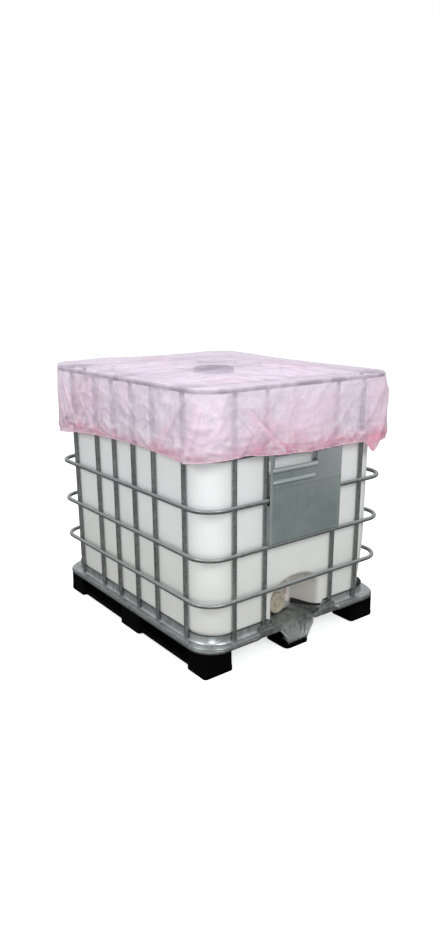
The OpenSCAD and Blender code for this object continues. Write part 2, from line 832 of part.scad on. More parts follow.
// Ring of the deck round the mouth
module neck_collar() {
    color(tank_white) translate([0, 0, deck_z - bottle_wall]) washer(collar_d, mouth_d, bottle_wall);
}

// Neck on the bottle's deck, under the lid
module fill_neck() {
    color(tank_white) translate([0, 0, deck_z]) washer(neck_d, mouth_d, neck_h);
}

// Arched pocket in the bottle's front wall
module valve_pocket() {
    color(tank_white) difference() {
        intersection() {
            bottle_block();
            recess_block(bottle_wall);
        }
        recess_block(0);
        along_outlet(-2 * bottle_wall) cylinder(d = outlet_neck_d, h = 3 * bottle_wall);
    }
}

// Neck in the pocket's back wall that the valve is drawn on
module outlet_neck() {
    color(tank_white) along_outlet(-bottle_wall) washer(outlet_neck_d, passage_d, neck_len + bottle_wall);
}

module lid_gasket() {
    color(rubber_black) translate([0, 0, neck_top_z]) washer(neck_d, mouth_d, gasket_t);
}

// Screw lid with a ribbed skirt
module lid() {
    color(lid_grey) translate([0, 0, lid_under_z - skirt_h]) difference() {
        union() {
            cylinder(d = lid_d, h = skirt_h + lid_t);
            for (k = [0:lid_ribs - 1]) rotate([0, 0, k * 360 / lid_ribs])
                translate([lid_d / 2 - over, -lid_rib, lid_rib])
                    cube([over + lid_rib / 2, 2 * lid_rib, skirt_h + lid_t - 2 * lid_rib]);
        }
        translate([0, 0, -over]) cylinder(d = lid_inner_d, h = skirt_h + over);
    }
}

module valve_gasket() {
    color(rubber_black) along_outlet(neck_len) washer(outlet_neck_d, passage_d, washer_t);
}

// Nut that draws the valve's flange against the bottle's neck
module union_nut() {
    color(cream) along_outlet(union_start) difference() {
        union() {
            cylinder(d = union_core_d, h = union_end - union_start);
            for (k = [0:union_lugs - 1]) rotate([0, 0, k * 360 / union_lugs])
                translate([union_core_d / 2 - over, -lug_w / 2, lug_in])
                    cube([lug_h + over, lug_w, union_end - union_start - 2 * lug_in]);
        }
        translate([0, 0, -over]) cylinder(d = barrel_d + 2 * seat_gap, h = far);
        translate([0, 0, body_start - union_start - over])
            cylinder(d = body_flange_d + 2 * seat_gap, h = body_flange_t + seat_gap + over);
    }
}

// Body with a flange, a barrel, a threaded outlet and a boss for the stem
module valve_body() {
    stem_y = recess_y - stem_at;
    color(cream) difference() {
        union() {
            along_outlet(body_start) cylinder(d = body_flange_d, h = body_flange_t);
            along_outlet(body_start) cylinder(d = barrel_d, h = body_end - body_start - over);
            along_outlet(thread_start) cylinder(d = thread_d, h = body_end - thread_start);
            translate([0, stem_y, outlet_z]) cylinder(d = boss_d, h = boss_top_z - outlet_z);
        }
        along_outlet(body_start - over) cylinder(d = passage_d, h = body_end - body_start + 2 * over);
        translate([0, stem_y, outlet_z]) cylinder(d = stem_d + 2 * running_gap, h = far);
        translate([0, stem_y, boss_top_z - seal_h]) cylinder(d = seal_d, h = far);
    }
}

module stem_seal() {
    color(rubber_black) translate([0, recess_y - stem_at, boss_top_z - seal_h])
        washer(seal_d, stem_d + 2 * running_gap, seal_h);
}

// Round stem with a square head for the handle
module valve_stem() {
    color(galvanised) translate([0, recess_y - stem_at, 0]) difference() {
        union() {
            translate([0, 0, stem_foot_z]) cylinder(d = stem_d, h = hub_z - stem_foot_z);
            translate([-stem_side / 2, -stem_side / 2, hub_z - over])
                cube([stem_side, stem_side, stem_top_z - hub_z + over]);
        }
        translate([0, 0, stem_top_z - hub_h]) cylinder(d = handle_screw_d + 2 * screw_gap, h = far);
    }
}

// Round disc that closes the passage, with a hub that takes the stem
module valve_disc() {
    color(cream) translate([0, recess_y - stem_at, outlet_z]) difference() {
        union() {
            rotate([90, 0, 0]) cylinder(d = passage_d - 2 * disc_gap, h = disc_t, center = true);
            intersection() {
                cylinder(d = disc_hub_d, h = passage_d - 2 * disc_hub_gap, center = true);
                sphere(d = passage_d - 4 * disc_gap);
            }
        }
        translate([0, 0, stem_foot_z - outlet_z]) cylinder(d = stem_d + 2 * screw_gap, h = far);
    }
}

// Lever that points across the flow when the valve is shut, its end turned down to a grip
module handle() {
    color(cream) translate([0, recess_y - stem_at, 0]) difference() {
        union() {
            translate([0, 0, hub_z]) cylinder(d = hub_d, h = hub_h);
            translate([0, -handle_w / 2, hub_z + arm_rise]) cube([handle_l, handle_w, handle_t]);
            translate([handle_l - handle_end_t, -handle_w / 2, handle_drop_z])
                cube([handle_end_t, handle_w, hub_z + arm_rise + handle_t - handle_drop_z]);
            translate([handle_l - grip_w, -handle_w / 2, handle_drop_z]) cube([grip_w, handle_w, grip_h]);
        }
        translate([-stem_side / 2 - screw_gap, -stem_side / 2 - screw_gap, hub_z - over])
            cube([stem_side + 2 * screw_gap, stem_side + 2 * screw_gap, stem_top_z - hub_z + over]);
        translate([0, 0, hub_z]) cylinder(d = handle_screw_d + 2 * screw_gap, h = far);
    }
}

module handle_screw() {
    color(galvanised) translate([0, recess_y - stem_at, hub_z + hub_h]) {
        cylinder(d = handle_screw_head_d, h = handle_screw_head_h);
        translate([0, 0, -handle_screw_l]) cylinder(d = handle_screw_d, h = handle_screw_l + over);
    }
}

module cap_gasket() {
    color(rubber_black) along_outlet(body_end) washer(thread_d, passage_d, cap_washer_t);
}

// Cap with a ribbed skirt
module outlet_cap() {
    color(cream) along_outlet(cap_start) difference() {
        union() {
            cylinder(d = cap_core_d, h = cap_skirt + cap_end_t);
            for (k = [0:cap_lugs - 1]) rotate([0, 0, (k + 0.5) * 360 / cap_lugs])
                translate([cap_core_d / 2 - over, -lug_w / 2, lug_in])
                    cube([lug_h + over, lug_w, cap_skirt + cap_end_t - 2 * lug_in]);
        }
        translate([0, 0, -over]) cylinder(d = thread_d + 2 * seat_gap, h = cap_skirt + over);
    }
}

// Outline of the film across one direction: an upright wall, a sloping margin and a flat crown
function film_outline(half, foot, grow) = [
    [half + grow, foot], [half + grow, film_edge_z + grow],
    [half - cover_gap - tube_d / 2 - film_margin, film_crown_z + grow],
    [-half + cover_gap + tube_d / 2 + film_margin, film_crown_z + grow],
    [-half - grow, film_edge_z + grow], [-half - grow, foot]
];

// Solid under the film: two roof profiles crossed, within the rounded plan
module film_block(foot, grow) {
    half_w = cage_w / 2 + cover_gap;
    half_l = cage_l / 2 + cover_gap;
    intersection() {
        rotate([90, 0, 0])
            linear_extrude(height = far, center = true) polygon(film_outline(half_w, foot, grow));
        rotate([90, 0, 90])
            linear_extrude(height = far, center = true) polygon(film_outline(half_l, foot, grow));
        linear_extrude(height = far)
            round_rect(2 * half_w + 2 * grow, 2 * half_l + 2 * grow, film_r + grow);
    }
}

module film_cover() {
    color(film_pink) difference() {
        film_block(hem_z, film_t);
        film_block(hem_z - over, 0);
    }
}

// Elastic band that the hem is gathered on
module hem_elastic() {
    color(film_pink) translate([0, 0, hem_z - elastic_h]) linear_extrude(height = elastic_h)
        round_frame(cage_w + 2 * elastic_gap + 2 * elastic_w, cage_l + 2 * elastic_gap + 2 * elastic_w,
            bend_r + tube_d / 2 + elastic_gap + elastic_w, elastic_w);
}

left_skid();
right_skid();
centre_skid();
skid_screws();
weld_nuts();
base_tray();
base_ring();
front_leg();
leg_screws();
lower_hoop();
middle_hoop();
upper_hoop();
shoulder_hoop();
top_rim();
left_uprights();
right_uprights();
front_uprights();
back_uprights();
front_cross_bar();
back_cross_bar();
bar_screws();
front_plate();
plate_rivets();
bottle();
bottle_deck();
neck_collar();
fill_neck();
valve_pocket();
outlet_neck();
lid_gasket();
lid();
valve_gasket();
union_nut();
valve_body();
stem_seal();
valve_stem();
valve_disc();
handle();
handle_screw();
cap_gasket();
outlet_cap();
film_cover();
hem_elastic();
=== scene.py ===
"""Looks of an intermediate bulk container: a white bottle in a galvanised tube cage on black skids,
with a valve in a recess of its front and a pink film cover over its top. Lengths are in metres."""
import math

import bmesh
import bpy
import numpy as np
from mathutils import Matrix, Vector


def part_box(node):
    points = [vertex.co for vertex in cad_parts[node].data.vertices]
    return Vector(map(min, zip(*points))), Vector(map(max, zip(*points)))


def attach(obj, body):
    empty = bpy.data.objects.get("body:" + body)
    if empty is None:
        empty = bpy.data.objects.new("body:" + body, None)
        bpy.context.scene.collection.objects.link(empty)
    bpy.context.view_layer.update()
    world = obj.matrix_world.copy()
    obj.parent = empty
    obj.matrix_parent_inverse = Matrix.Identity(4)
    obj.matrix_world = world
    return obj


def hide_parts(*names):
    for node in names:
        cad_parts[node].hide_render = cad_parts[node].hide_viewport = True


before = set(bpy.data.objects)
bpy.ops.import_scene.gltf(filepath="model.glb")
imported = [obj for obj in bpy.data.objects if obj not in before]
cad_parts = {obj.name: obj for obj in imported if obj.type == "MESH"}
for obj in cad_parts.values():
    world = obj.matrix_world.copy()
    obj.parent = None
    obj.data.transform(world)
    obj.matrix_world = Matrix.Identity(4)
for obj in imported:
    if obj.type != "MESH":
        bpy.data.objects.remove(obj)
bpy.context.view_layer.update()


# Sizes from the frame

def extent(node):
    """The lowest and highest corner of a CAD node."""
    low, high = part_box(node)
    return np.array(low), np.array(high)


def halfway(node, axis):
    """The middle of a CAD node along an axis."""
    return float(sum(corner[axis] for corner in extent(node)) / 2)


rim_low, rim_high = extent("top_rim")
TUBE_R = (rim_high[2] - rim_low[2]) / 2
HOOP_X = rim_high[0] - TUBE_R
HOOP_Y = rim_high[1] - TUBE_R
BEND_R = 0.100
RIM_Z = (rim_high[2] + rim_low[2]) / 2
HOOPS = ("lower_hoop", "middle_hoop", "upper_hoop", "shoulder_hoop", "top_rim")
HOOP_Z = {name: halfway(name, 2) for name in HOOPS}
UPRIGHT_X = extent("right_uprights")[1][0] - TUBE_R
UPRIGHT_Y = extent("back_uprights")[1][1] - TUBE_R
SIDE_ROWS = (-0.436, -0.230, -0.0775, 0.0775, 0.230, 0.436)
FRONT_ROWS = (-0.339, -0.187, 0.187, 0.339)
BACK_ROWS = (-0.339, -0.187, 0.0, 0.187, 0.339)
# The rows of uprights: the place of each in plan, and the way out of the cage there
UPRIGHT_ROWS = {
    "left_uprights": [((-UPRIGHT_X, y), (-1, 0)) for y in SIDE_ROWS],
    "right_uprights": [((UPRIGHT_X, y), (1, 0)) for y in SIDE_ROWS],
    "front_uprights": [((x, -UPRIGHT_Y), (0, -1)) for x in FRONT_ROWS],
    "back_uprights": [((x, UPRIGHT_Y), (0, 1)) for x in BACK_ROWS],
}
POSTS = [np.array(place) for row in UPRIGHT_ROWS.values() for place, _ in row]
TRAY_LOW, TRAY_HIGH = extent("base_tray")
BOTTLE_LOW, BOTTLE_HIGH = extent("bottle")
MOUTH_Z = extent("fill_neck")[1][2]
OUTLET_Z = halfway("outlet_neck", 2)
# The way out of the outlet
OUT = (0, -1, 0)
STEM_Y = halfway("stem_seal", 1)
DISC_GAP = 0.0006
PASSAGE_R = float(extent("valve_disc")[1][0]) + DISC_GAP
# Half the width of the tray's cut at the valve
VALVE_HALF_GAP = 0.084
# What has a lower y than this belongs to the front wall
FRONT_Y = -0.5
# Cells of the noise before it repeats
LATTICE = 256


# Shapes as functions of two parameters

def smooth(low, high, x):
    """0 up to low, 1 from high, and an S curve of the third power between them."""
    t = np.clip((x - low) / (high - low), 0.0, 1.0)
    return t * t * (3.0 - 2.0 * t)


def bell(x, width):
    """A bell curve of height 1, with that width."""
    return np.exp(-np.square(x / width))


def noise(u, v, seed, wrap=LATTICE):
    """Smooth noise from 0 to 1: random values on a lattice of unit cells, joined by S curves. It
    repeats along u after wrap cells."""
    table = np.random.default_rng(seed).random((wrap, LATTICE))
    cell_u, cell_v = np.floor(u).astype(int), np.floor(v).astype(int)
    part_u, part_v = smooth(0, 1, u - cell_u), smooth(0, 1, v - cell_v)
    this_u, next_u = cell_u % wrap, (cell_u + 1) % wrap
    this_v, next_v = cell_v % LATTICE, (cell_v + 1) % LATTICE
    low = table[this_u, this_v] * (1 - part_u) + table[next_u, this_v] * part_u
    high = table[this_u, next_v] * (1 - part_u) + table[next_u, next_v] * part_u
    return low * (1 - part_v) + high * part_v


def creases(u, v, seed, wrap=LATTICE):
    """Sharp ridges from 0 to 1, where smooth noise crosses its middle value."""
    return 1 - np.abs(2 * noise(u, v, seed, wrap) - 1)


def wave(x):
    """A cosine from 0 to 1 that repeats after 1."""
    return 0.5 + 0.5 * np.cos(2 * np.pi * x)


def signed_power(x, power):
    """A power of a number's size, with the number's sign."""
    return np.sign(x) * np.abs(x) ** power


def grid(points, closed_u=False, closed_v=False):
    """The quads between neighbouring points of a surface given as an array (u, v, 3)."""
    count_u, count_v = points.shape[:2]
    u = np.arange(count_u if closed_u else count_u - 1)[:, None]
    v = np.arange(count_v if closed_v else count_v - 1)[None, :]
    next_u, next_v = (u + 1) % count_u, (v + 1) % count_v
    corners = [u * count_v + v, next_u * count_v + v, next_u * count_v + next_v, u * count_v + next_v]
    return points.reshape(-1, 3), np.stack(corners, -1).reshape(-1, 4)


def disc(points):
    """One flat face inside a ring of points."""
    return points, np.arange(len(points))[None, :]


def capped(points):
    """The skin through rings of points, with a flat face in the first and the last ring."""
    return [grid(points, closed_v=True), disc(points[0]), disc(points[-1])]


def lift(plan, level):
    """Points in plan, (rows, n, 2), with a height for each row."""
    return np.concatenate([plan, np.broadcast_to(level[:, None, None], plan.shape[:2] + (1,))], -1)


def ring(half_x, half_y, radius, counts, gap=0.0):
    """Points and outward normals, each (rows, n, 2), round rectangles with round corners, from the
    middle of the front by +X and back. counts gives the points along half the front, a side, the back
    and a corner. With a gap, the ring starts and ends that far from the middle of the front."""
    sizes = (np.atleast_1d(np.asarray(size, float))[:, None] for size in (half_x, half_y, radius))
    half_x, half_y, radius = sizes
    front, side, back, corner = counts
    right, far = half_x - radius, half_y - radius
    one = np.ones_like(half_x)

    def straight(start, end, normal, count):
        """Points along a line, without its end."""
        t = (np.arange(count) / count)[None, :]
        place = [a + (b - a) * t for a, b in zip(start, end)]
        return np.stack(place, -1), np.broadcast_to(np.array(normal, float), place[0].shape + (2,))

    def bend(centre, start):
        """Points along a quarter of a circle, without its end."""
        angle = np.radians(start + 90 * np.arange(corner) / corner)[None, :]
        normal = np.stack([np.cos(angle) * one, np.sin(angle) * one], -1)
        return np.stack(centre, -1) + radius[..., None] * normal, normal

    pieces = [
        straight((gap * one, -half_y), (right, -half_y), (0, -1), front),
        bend((right, -far), -90),
        straight((half_x, -far), (half_x, far), (1, 0), side),
        bend((right, far), 0),
        straight((right, half_y), (-right, half_y), (0, 1), back),
        bend((-right, far), 90),
        straight((-half_x, far), (-half_x, -far), (-1, 0), side),
        bend((-right, -far), 180),
        straight((-right, -half_y), (-gap * one, -half_y), (0, -1), front),
    ]
    if gap:
        pieces.append(straight((-gap * one, -half_y), (-gap * one, -half_y), (0, -1), 1))
    return tuple(np.concatenate([p[k] for p in pieces], 1) for k in (0, 1))


def outline(half_x, half_y, radius, counts, gap=0.0):
    """One such ring: its points and its normals, each (n, 2)."""
    return tuple(rows[0] for rows in ring(half_x, half_y, radius, counts, gap))


def sweep(path, normal, across, height):
    """A profile carried along a path: across is measured along the path's normal, and height along Z.
    path and normal are (n, 2), and the profile's arrays are (n, m) or (m,)."""
    across, height = (np.broadcast_to(v, (len(path), np.shape(v)[-1])) for v in (across, height))
    plan = path[:, None, :] + normal[:, None, :] * across[..., None]
    return np.concatenate([plan, height[..., None]], -1)


def circle(count):
    """Angles round a circle."""
    return 2 * np.pi * np.arange(count) / count


def turn(profile, origin, axis, count=64, ribs=0, depth=0.0, ribbed=None):
    """A profile of (radius, distance along the axis) turned about the axis. Where ribbed is 1, ribs
    swell the radius by depth, as a cosine put through an S curve to be flat-topped."""
    axis = np.array(axis, float)
    side = np.array([0.0, 0.0, 1.0]) if abs(axis[2]) < 0.5 else np.array([1.0, 0.0, 0.0])
    other = np.cross(axis, side)
    radius, along = np.array(profile, float).T
    angle = circle(count)
    swell = depth * smooth(-0.5, 0.5, np.cos(ribs * angle)) if ribs else np.zeros(count)
    weight = np.zeros(len(radius)) if ribbed is None else np.array(ribbed, float)
    wide = radius[:, None] + weight[:, None] * swell[None, :]
    spoke = np.cos(angle)[:, None] * side + np.sin(angle)[:, None] * other
    return np.array(origin) + along[:, None, None] * axis + wide[..., None] * spoke[None]


def lathe(profile, origin, axis, **ribs):
    """A turned profile as a part."""
    return grid(turn(profile, origin, axis, **ribs), closed_v=True)


def block(low, high, radius, bevel):
    """A moulded block: a rectangle with round corners, bevelled at its foot and its top."""
    low, high = np.array(low, float), np.array(high, float)
    middle, half = (low + high) / 2, (high - low) / 2
    height = high[2] - low[2]
    inset = np.array([bevel, 0.3 * bevel, 0.0, 0.0, 0.3 * bevel, bevel])
    level = np.array([0, 0.3 * bevel, bevel, height - bevel, height - 0.3 * bevel, height])
    corner = np.maximum(radius - inset, 0.001)
    plan, _ = ring(half[0] - inset, half[1] - inset, corner, (4, 8, 8, 6))
    return capped(lift(plan + middle[:2], low[2] + level))


def rounded(points):
    """Corners of a polyline cut three times, at a quarter and three quarters of each stretch, with its
    ends kept. points is (rows, n, 3)."""
    for _ in range(3):
        first, second = points[:, :-1], points[:, 1:]
        cut = np.stack([0.75 * first + 0.25 * second, 0.25 * first + 0.75 * second], 2)
        cut = cut.reshape(len(points), -1, 3)
        points = np.concatenate([points[:, :1], cut[:, 1:-1], points[:, -1:]], 1)
    return points


# Materials

class Socket:
    """One output of a shader node, so that sums are written as on paper."""

    def __init__(self, tree, output=None):
        self.tree = tree
        self.output = output

    def node(self, kind, inputs=None, result=0, **settings):
        """Adds a node, fills its inputs with numbers, colours or sockets and returns one output."""
        made = self.tree.nodes.new(kind)
        for name, value in settings.items():
            setattr(made, name, value)
        for key, value in (inputs or {}).items():
            if isinstance(value, Socket):
                self.tree.links.new(value.output, made.inputs[key])
            else:
                made.inputs[key].default_value = value
        return Socket(self.tree, made.outputs[result] if len(made.outputs) else None)

    def math(self, operation, first, second):
        """A sum of two numbers or sockets."""
        return self.node("ShaderNodeMath", {0: first, 1: second}, operation=operation)

    def __add__(self, other):
        return self.math("ADD", self, other)

    def __radd__(self, other):
        return self.math("ADD", other, self)

    def __sub__(self, other):
        return self.math("SUBTRACT", self, other)

    def __rsub__(self, other):
        return self.math("SUBTRACT", other, self)

    def __mul__(self, other):
        return self.math("MULTIPLY", self, other)

    def __rmul__(self, other):
        return self.math("MULTIPLY", other, self)

    def step(self, low, high):
        """0 up to low, 1 from high, and smooth between."""
        limits = {"Value": self, "From Min": low, "From Max": high}
        return self.node("ShaderNodeMapRange", limits, interpolation_type="SMOOTHSTEP")

    def stretch(self, x, y, z):
        """A vector socket with its parts multiplied."""
        return self.node("ShaderNodeVectorMath", {0: self, 1: (x, y, z)}, operation="MULTIPLY")

    def part(self, axis):
        """One part of a vector socket."""
        return self.node("ShaderNodeSeparateXYZ", {0: self}, axis)

    def attribute(self, name):
        """The value of a mesh's attribute."""
        return self.node("ShaderNodeAttribute", {}, "Fac", attribute_name=name)

    def cloud(self, scale, detail=3.0, rough=0.5):
        """Noise from 0 to 1 at this place."""
        values = {"Vector": self, "Scale": scale, "Detail": detail, "Roughness": rough}
        return self.node("ShaderNodeTexNoise", values)

    def cells(self, scale):
        """One random grey for each cell of a crystal pattern."""
        colour = self.node("ShaderNodeTexVoronoi", {"Vector": self, "Scale": scale}, result="Color")
        return self.node("ShaderNodeSeparateColor", {0: colour})

    def facets(self, scale):
        """Bent flats as in crumpled film: the distance to the nearest of scattered points, from 0."""
        waves = {"Vector": self, "Scale": 0.5 * scale, "Detail": 2.0}
        bent = self.node("ShaderNodeTexNoise", waves, "Color")
        shift = {0: bent, 1: (1.2 / scale,) * 3, 2: self}
        moved = self.node("ShaderNodeVectorMath", shift, operation="MULTIPLY_ADD")
        return self.node("ShaderNodeTexVoronoi", {"Vector": moved, "Scale": scale}, "Distance")

    def blend(self, first, second):
        """The first colour where this is 0, and the second where it is 1."""
        return self.node("ShaderNodeMix", {0: self, 6: first, 7: second}, 2, data_type="RGBA")

    def bump(self, distance, strength=1.0):
        """A normal for which this is the height, in units of distance."""
        return self.node("ShaderNodeBump", {"Height": self, "Distance": distance, "Strength": strength})


def material(name):
    """A new material, and a socket with the place on the object."""
    made = bpy.data.materials.new(name)
    made.use_nodes = True
    made.node_tree.nodes.clear()
    start = Socket(made.node_tree)
    return made, start.node("ShaderNodeTexCoord", result="Object")


def surface(place, inputs):
    """Ends a material with one principled surface."""
    shader = place.node("ShaderNodeBsdfPrincipled", inputs)
    place.node("ShaderNodeOutputMaterial", {"Surface": shader})


def rgb(red, green, blue):
    """An opaque colour."""
    return (red, green, blue, 1.0)


# The heights between which the tray's lip turns from clean to a painted shade, for the shadow in its gap to
# the bottle
SHADE_BAND = (0.1565, 0.1585)


def galvanised(name, dark, light, crystal, metallic, roughness, shade_band=None):
    """Zinc on steel: grey crystals, a dull bloom in clouds, and faint upright runs. It is lighter where a
    mesh's attribute for wear and highlight is high, which is mostly a painted highlight. With two heights for
    a shade band, it is clean up to the first and darkened by a painted shade from the second."""
    made, place = material(name)
    crystals = place.cells(1 / crystal)
    bloom = place.cloud(7.0, 4.0)
    runs = place.stretch(60, 60, 5).cloud(1.0, 2.0)
    tone = (0.35 * crystals + 0.4 * bloom + 0.25 * runs).step(0.2, 0.8)
    grain = place.cloud(900.0, 2.0)
    # Lighter where the mesh's attribute is high: painted highlights on the tubes' tops and the plate's ribs
    # and upper right.
    wear_and_highlight = place.attribute("wear_and_highlight")
    colour = wear_and_highlight.blend(tone.blend(dark, light), rgb(0.46, 0.48, 0.48))
    if shade_band:
        # Painted shade: a dark band along the top of the tray's lip, where the gap to the bottle lies in
        # shadow.
        painted_shade = place.part(2).step(*shade_band)
        colour = (painted_shade * (0.75 + 0.4 * (bloom - 0.5))).blend(colour, rgb(0.035, 0.032, 0.026))
    surface(place, {
        "Base Color": colour,
        "Metallic": metallic,
        "Roughness": roughness + 0.16 * bloom + 0.08 * crystals,
        "Normal": (0.6 * grain + 0.4 * runs).bump(0.0004, 0.35),
    })
    return made


def tank_plastic():
    """Blown polyethylene: milky white with faint flow marks, warmer and darker towards its foot by a painted
    shade, and a lighter cream in the valve pocket, painted light on its shaded walls."""
    made, place = material("tank_white")
    across, depth, height = (place.part(axis) for axis in range(3))
    flow = place.stretch(1.5, 1.5, 4.0).cloud(2.0, 4.0)
    dust = place.cloud(9.0, 5.0, 0.6)
    # Painted shade: warmer and darker towards the foot, where less light reaches.
    foot = 1 - height.step(0.12, 0.75)
    low_shade_and_marks = (0.55 * foot + 0.35 * flow + 0.25 * dust - 0.2).step(0.0, 0.9)
    aside = place.math("ABSOLUTE", across, 0.0)
    # Painted light: a lighter, warm cream painted into the valve pocket, which lifts its shaded walls.
    pocket = depth.step(-0.560, -0.515) * (1 - depth.step(-0.34, -0.30)) * (1 - height.step(0.33, 0.36))
    pocket = pocket * (1 - aside.step(0.19, 0.22))
    skin = low_shade_and_marks.blend(rgb(0.875, 0.895, 0.89), rgb(0.735, 0.735, 0.70))
    surface(place, {
        "Base Color": (0.8 * pocket).blend(skin, rgb(0.90, 0.88, 0.83)),
        "Roughness": 0.34 + 0.2 * dust,
        "Subsurface Weight": 0.12,
        "Subsurface Radius": (0.02, 0.02, 0.018),
        "Normal": (0.8 * flow + 0.2 * place.cloud(260.0, 2.0)).bump(0.004, 0.25),
    })
    return made


def moulded(name, colour, wear_and_highlight, roughness, scale=1.0, sheen=0.5):
    """Moulded plastic: fine grain, and scuffs that are lighter where noise peaks."""
    made, place = material(name)
    scuff = place.stretch(1, 3, 1).cloud(24.0 * scale, 6.0, 0.65).step(0.55, 0.75)
    cloudy = place.cloud(5.0 * scale, 3.0)
    grain = place.cloud(700.0, 2.0)
    surface(place, {
        "Base Color": (0.65 * scuff + 0.25 * cloudy).blend(colour, wear_and_highlight),
        "Roughness": roughness + 0.15 * scuff,
        "Specular IOR Level": sheen,
        "Normal": grain.bump(0.0005, 0.3),
    })
    return made


def film_plastic(name, pale, deep, clear, dense):
    """Thin pink film: deeper and denser where its gather attribute is high, clearer where its touch
    attribute is above 0 and denser where that is below, with a painted milky highlight along the sharp crests
    where its attribute for painted light and shade is above 0 and a painted mauve shade along the creases
    where that is below, with fine crinkles. It also glows a little, a painted light for what shines through
    it."""
    made, place = material(name)
    gather, touch, painted_light_and_shade = (place.attribute(key) for key in ("gather", "touch", "painted_light_and_shade"))
    crinkle = place.cloud(30.0, 5.0, 0.6)
    patches = place.cloud(4.5, 3.0)
    crumple = 0.65 * place.facets(8.0) + 0.35 * place.facets(19.0)
    density = clear + (dense - clear) * gather + 0.20 * (crumple - 0.45) + 0.16 * painted_light_and_shade - 0.30 * touch
    depth = (gather + 0.8 * (patches - 0.52) + 0.3 * (crumple - 0.45)).step(0.0, 1.1)
    colour = depth.blend(pale, deep)
    # Painted highlight along the crests and painted shade along the creases.
    colour = (0.85 * painted_light_and_shade).blend(colour, rgb(0.97, 0.92, 0.97))
    colour = (0.0 - painted_light_and_shade).blend(colour, rgb(0.46, 0.34, 0.50))
    skin = place.node("ShaderNodeBsdfPrincipled", {
        "Base Color": colour,
        "Roughness": 0.12 + 0.2 * crinkle,
        "Alpha": density,
        # Emission: a painted glow that stands in for light shining through the film.
        "Emission Color": colour,
        "Emission Strength": 0.18,
        "Coat Weight": 0.45,
        "Coat Roughness": 0.10,
        "Normal": (0.85 * crumple + 0.15 * crinkle).bump(0.034, 0.9),
    })
    glow = place.node("ShaderNodeBsdfTranslucent", {"Color": colour})
    see_through = place.node("ShaderNodeBsdfTransparent", {"Color": rgb(1, 1, 1)})
    back = place.node("ShaderNodeMixShader", {0: density, 1: see_through, 2: glow})
    both = place.node("ShaderNodeMixShader", {0: 0.35, 1: skin, 2: back})
    place.node("ShaderNodeOutputMaterial", {"Surface": both})
    return made


tube_zinc = galvanised("galvanised_tube", rgb(0.12, 0.134, 0.129), rgb(0.26, 0.284, 0.276), 0.006, 0.60, 0.25)
tray_zinc = galvanised("tray_zinc", rgb(0.40, 0.43, 0.43), rgb(0.57, 0.605, 0.605), 0.020, 0.80, 0.20, SHADE_BAND)
leg_zinc = galvanised("leg_zinc", rgb(0.16, 0.175, 0.17), rgb(0.34, 0.36, 0.355), 0.012, 0.60, 0.28)
plate_zinc = galvanised("plate_zinc", rgb(0.212, 0.257, 0.258), rgb(0.250, 0.297, 0.296), 0.030, 0.30, 0.40)
bar_zinc = galvanised("bar_zinc", rgb(0.66, 0.68, 0.68), rgb(0.78, 0.80, 0.80), 0.008, 0.10, 0.40)
screw_zinc = galvanised("zinc_fasteners", rgb(0.30, 0.31, 0.31), rgb(0.50, 0.50, 0.49), 0.003, 0.8, 0.28)
tank_white = tank_plastic()
black_plastic = moulded("black_plastic", rgb(0.001, 0.001, 0.0012), rgb(0.005, 0.005, 0.006), 0.50, 1.0, 0.03)
valve_plastic = moulded("valve_plastic", rgb(0.46, 0.42, 0.33), rgb(0.62, 0.58, 0.49), 0.38, 3.0)
handle_plastic = moulded("handle_plastic", rgb(0.80, 0.70, 0.69), rgb(0.86, 0.82, 0.80), 0.36, 3.0)
lid_plastic = moulded("lid_plastic", rgb(0.018, 0.022, 0.085), rgb(0.05, 0.055, 0.14), 0.40, 2.0)
seal_rubber = moulded("seal_rubber", rgb(0.02, 0.02, 0.02), rgb(0.06, 0.06, 0.06), 0.60, 3.0)
pink_film = film_plastic("pink_film", rgb(0.90, 0.78, 0.92), rgb(0.90, 0.36, 0.50), 0.62, 0.95)
hem_band = moulded("hem_band", rgb(0.80, 0.50, 0.60), rgb(0.88, 0.66, 0.75), 0.40, 3.0)


# Pieces

def piece(name, parts, finish, body, nodes=(), sharp=35.0, attributes=None):
    """One mesh at the origin, joined where parts meet, riding a body in the place of some CAD nodes."""
    starts = np.cumsum([0] + [len(points) for points, _ in parts])
    mesh = bpy.data.meshes.new(name)
    faces = [face for start, (_, part) in zip(starts, parts) for face in (part + start).tolist()]
    mesh.from_pydata(np.concatenate([points for points, _ in parts]).tolist(), [], faces)
    for key, values in (attributes or {}).items():
        layer = mesh.attributes.new(key, "FLOAT", "POINT")
        layer.data.foreach_set("value", np.ravel(values).astype(np.float32))
    work = bmesh.new()
    work.from_mesh(mesh)
    bmesh.ops.remove_doubles(work, verts=work.verts, dist=2e-5)
    bmesh.ops.recalc_face_normals(work, faces=work.faces)
    work.to_mesh(mesh)
    work.free()
    mesh.materials.append(finish)
    mesh.shade_smooth()
    mesh.set_sharp_from_angle(angle=math.radians(sharp))
    made = bpy.data.objects.new(name, mesh)
    bpy.context.scene.collection.objects.link(made)
    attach(made, body)
    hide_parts(*nodes)
    return made


def thicken(made, thickness):
    """Gives a sheet its thickness, half to each side."""
    solid = made.modifiers.new("thickness", "SOLIDIFY")
    solid.thickness = thickness
    solid.offset = 0.0


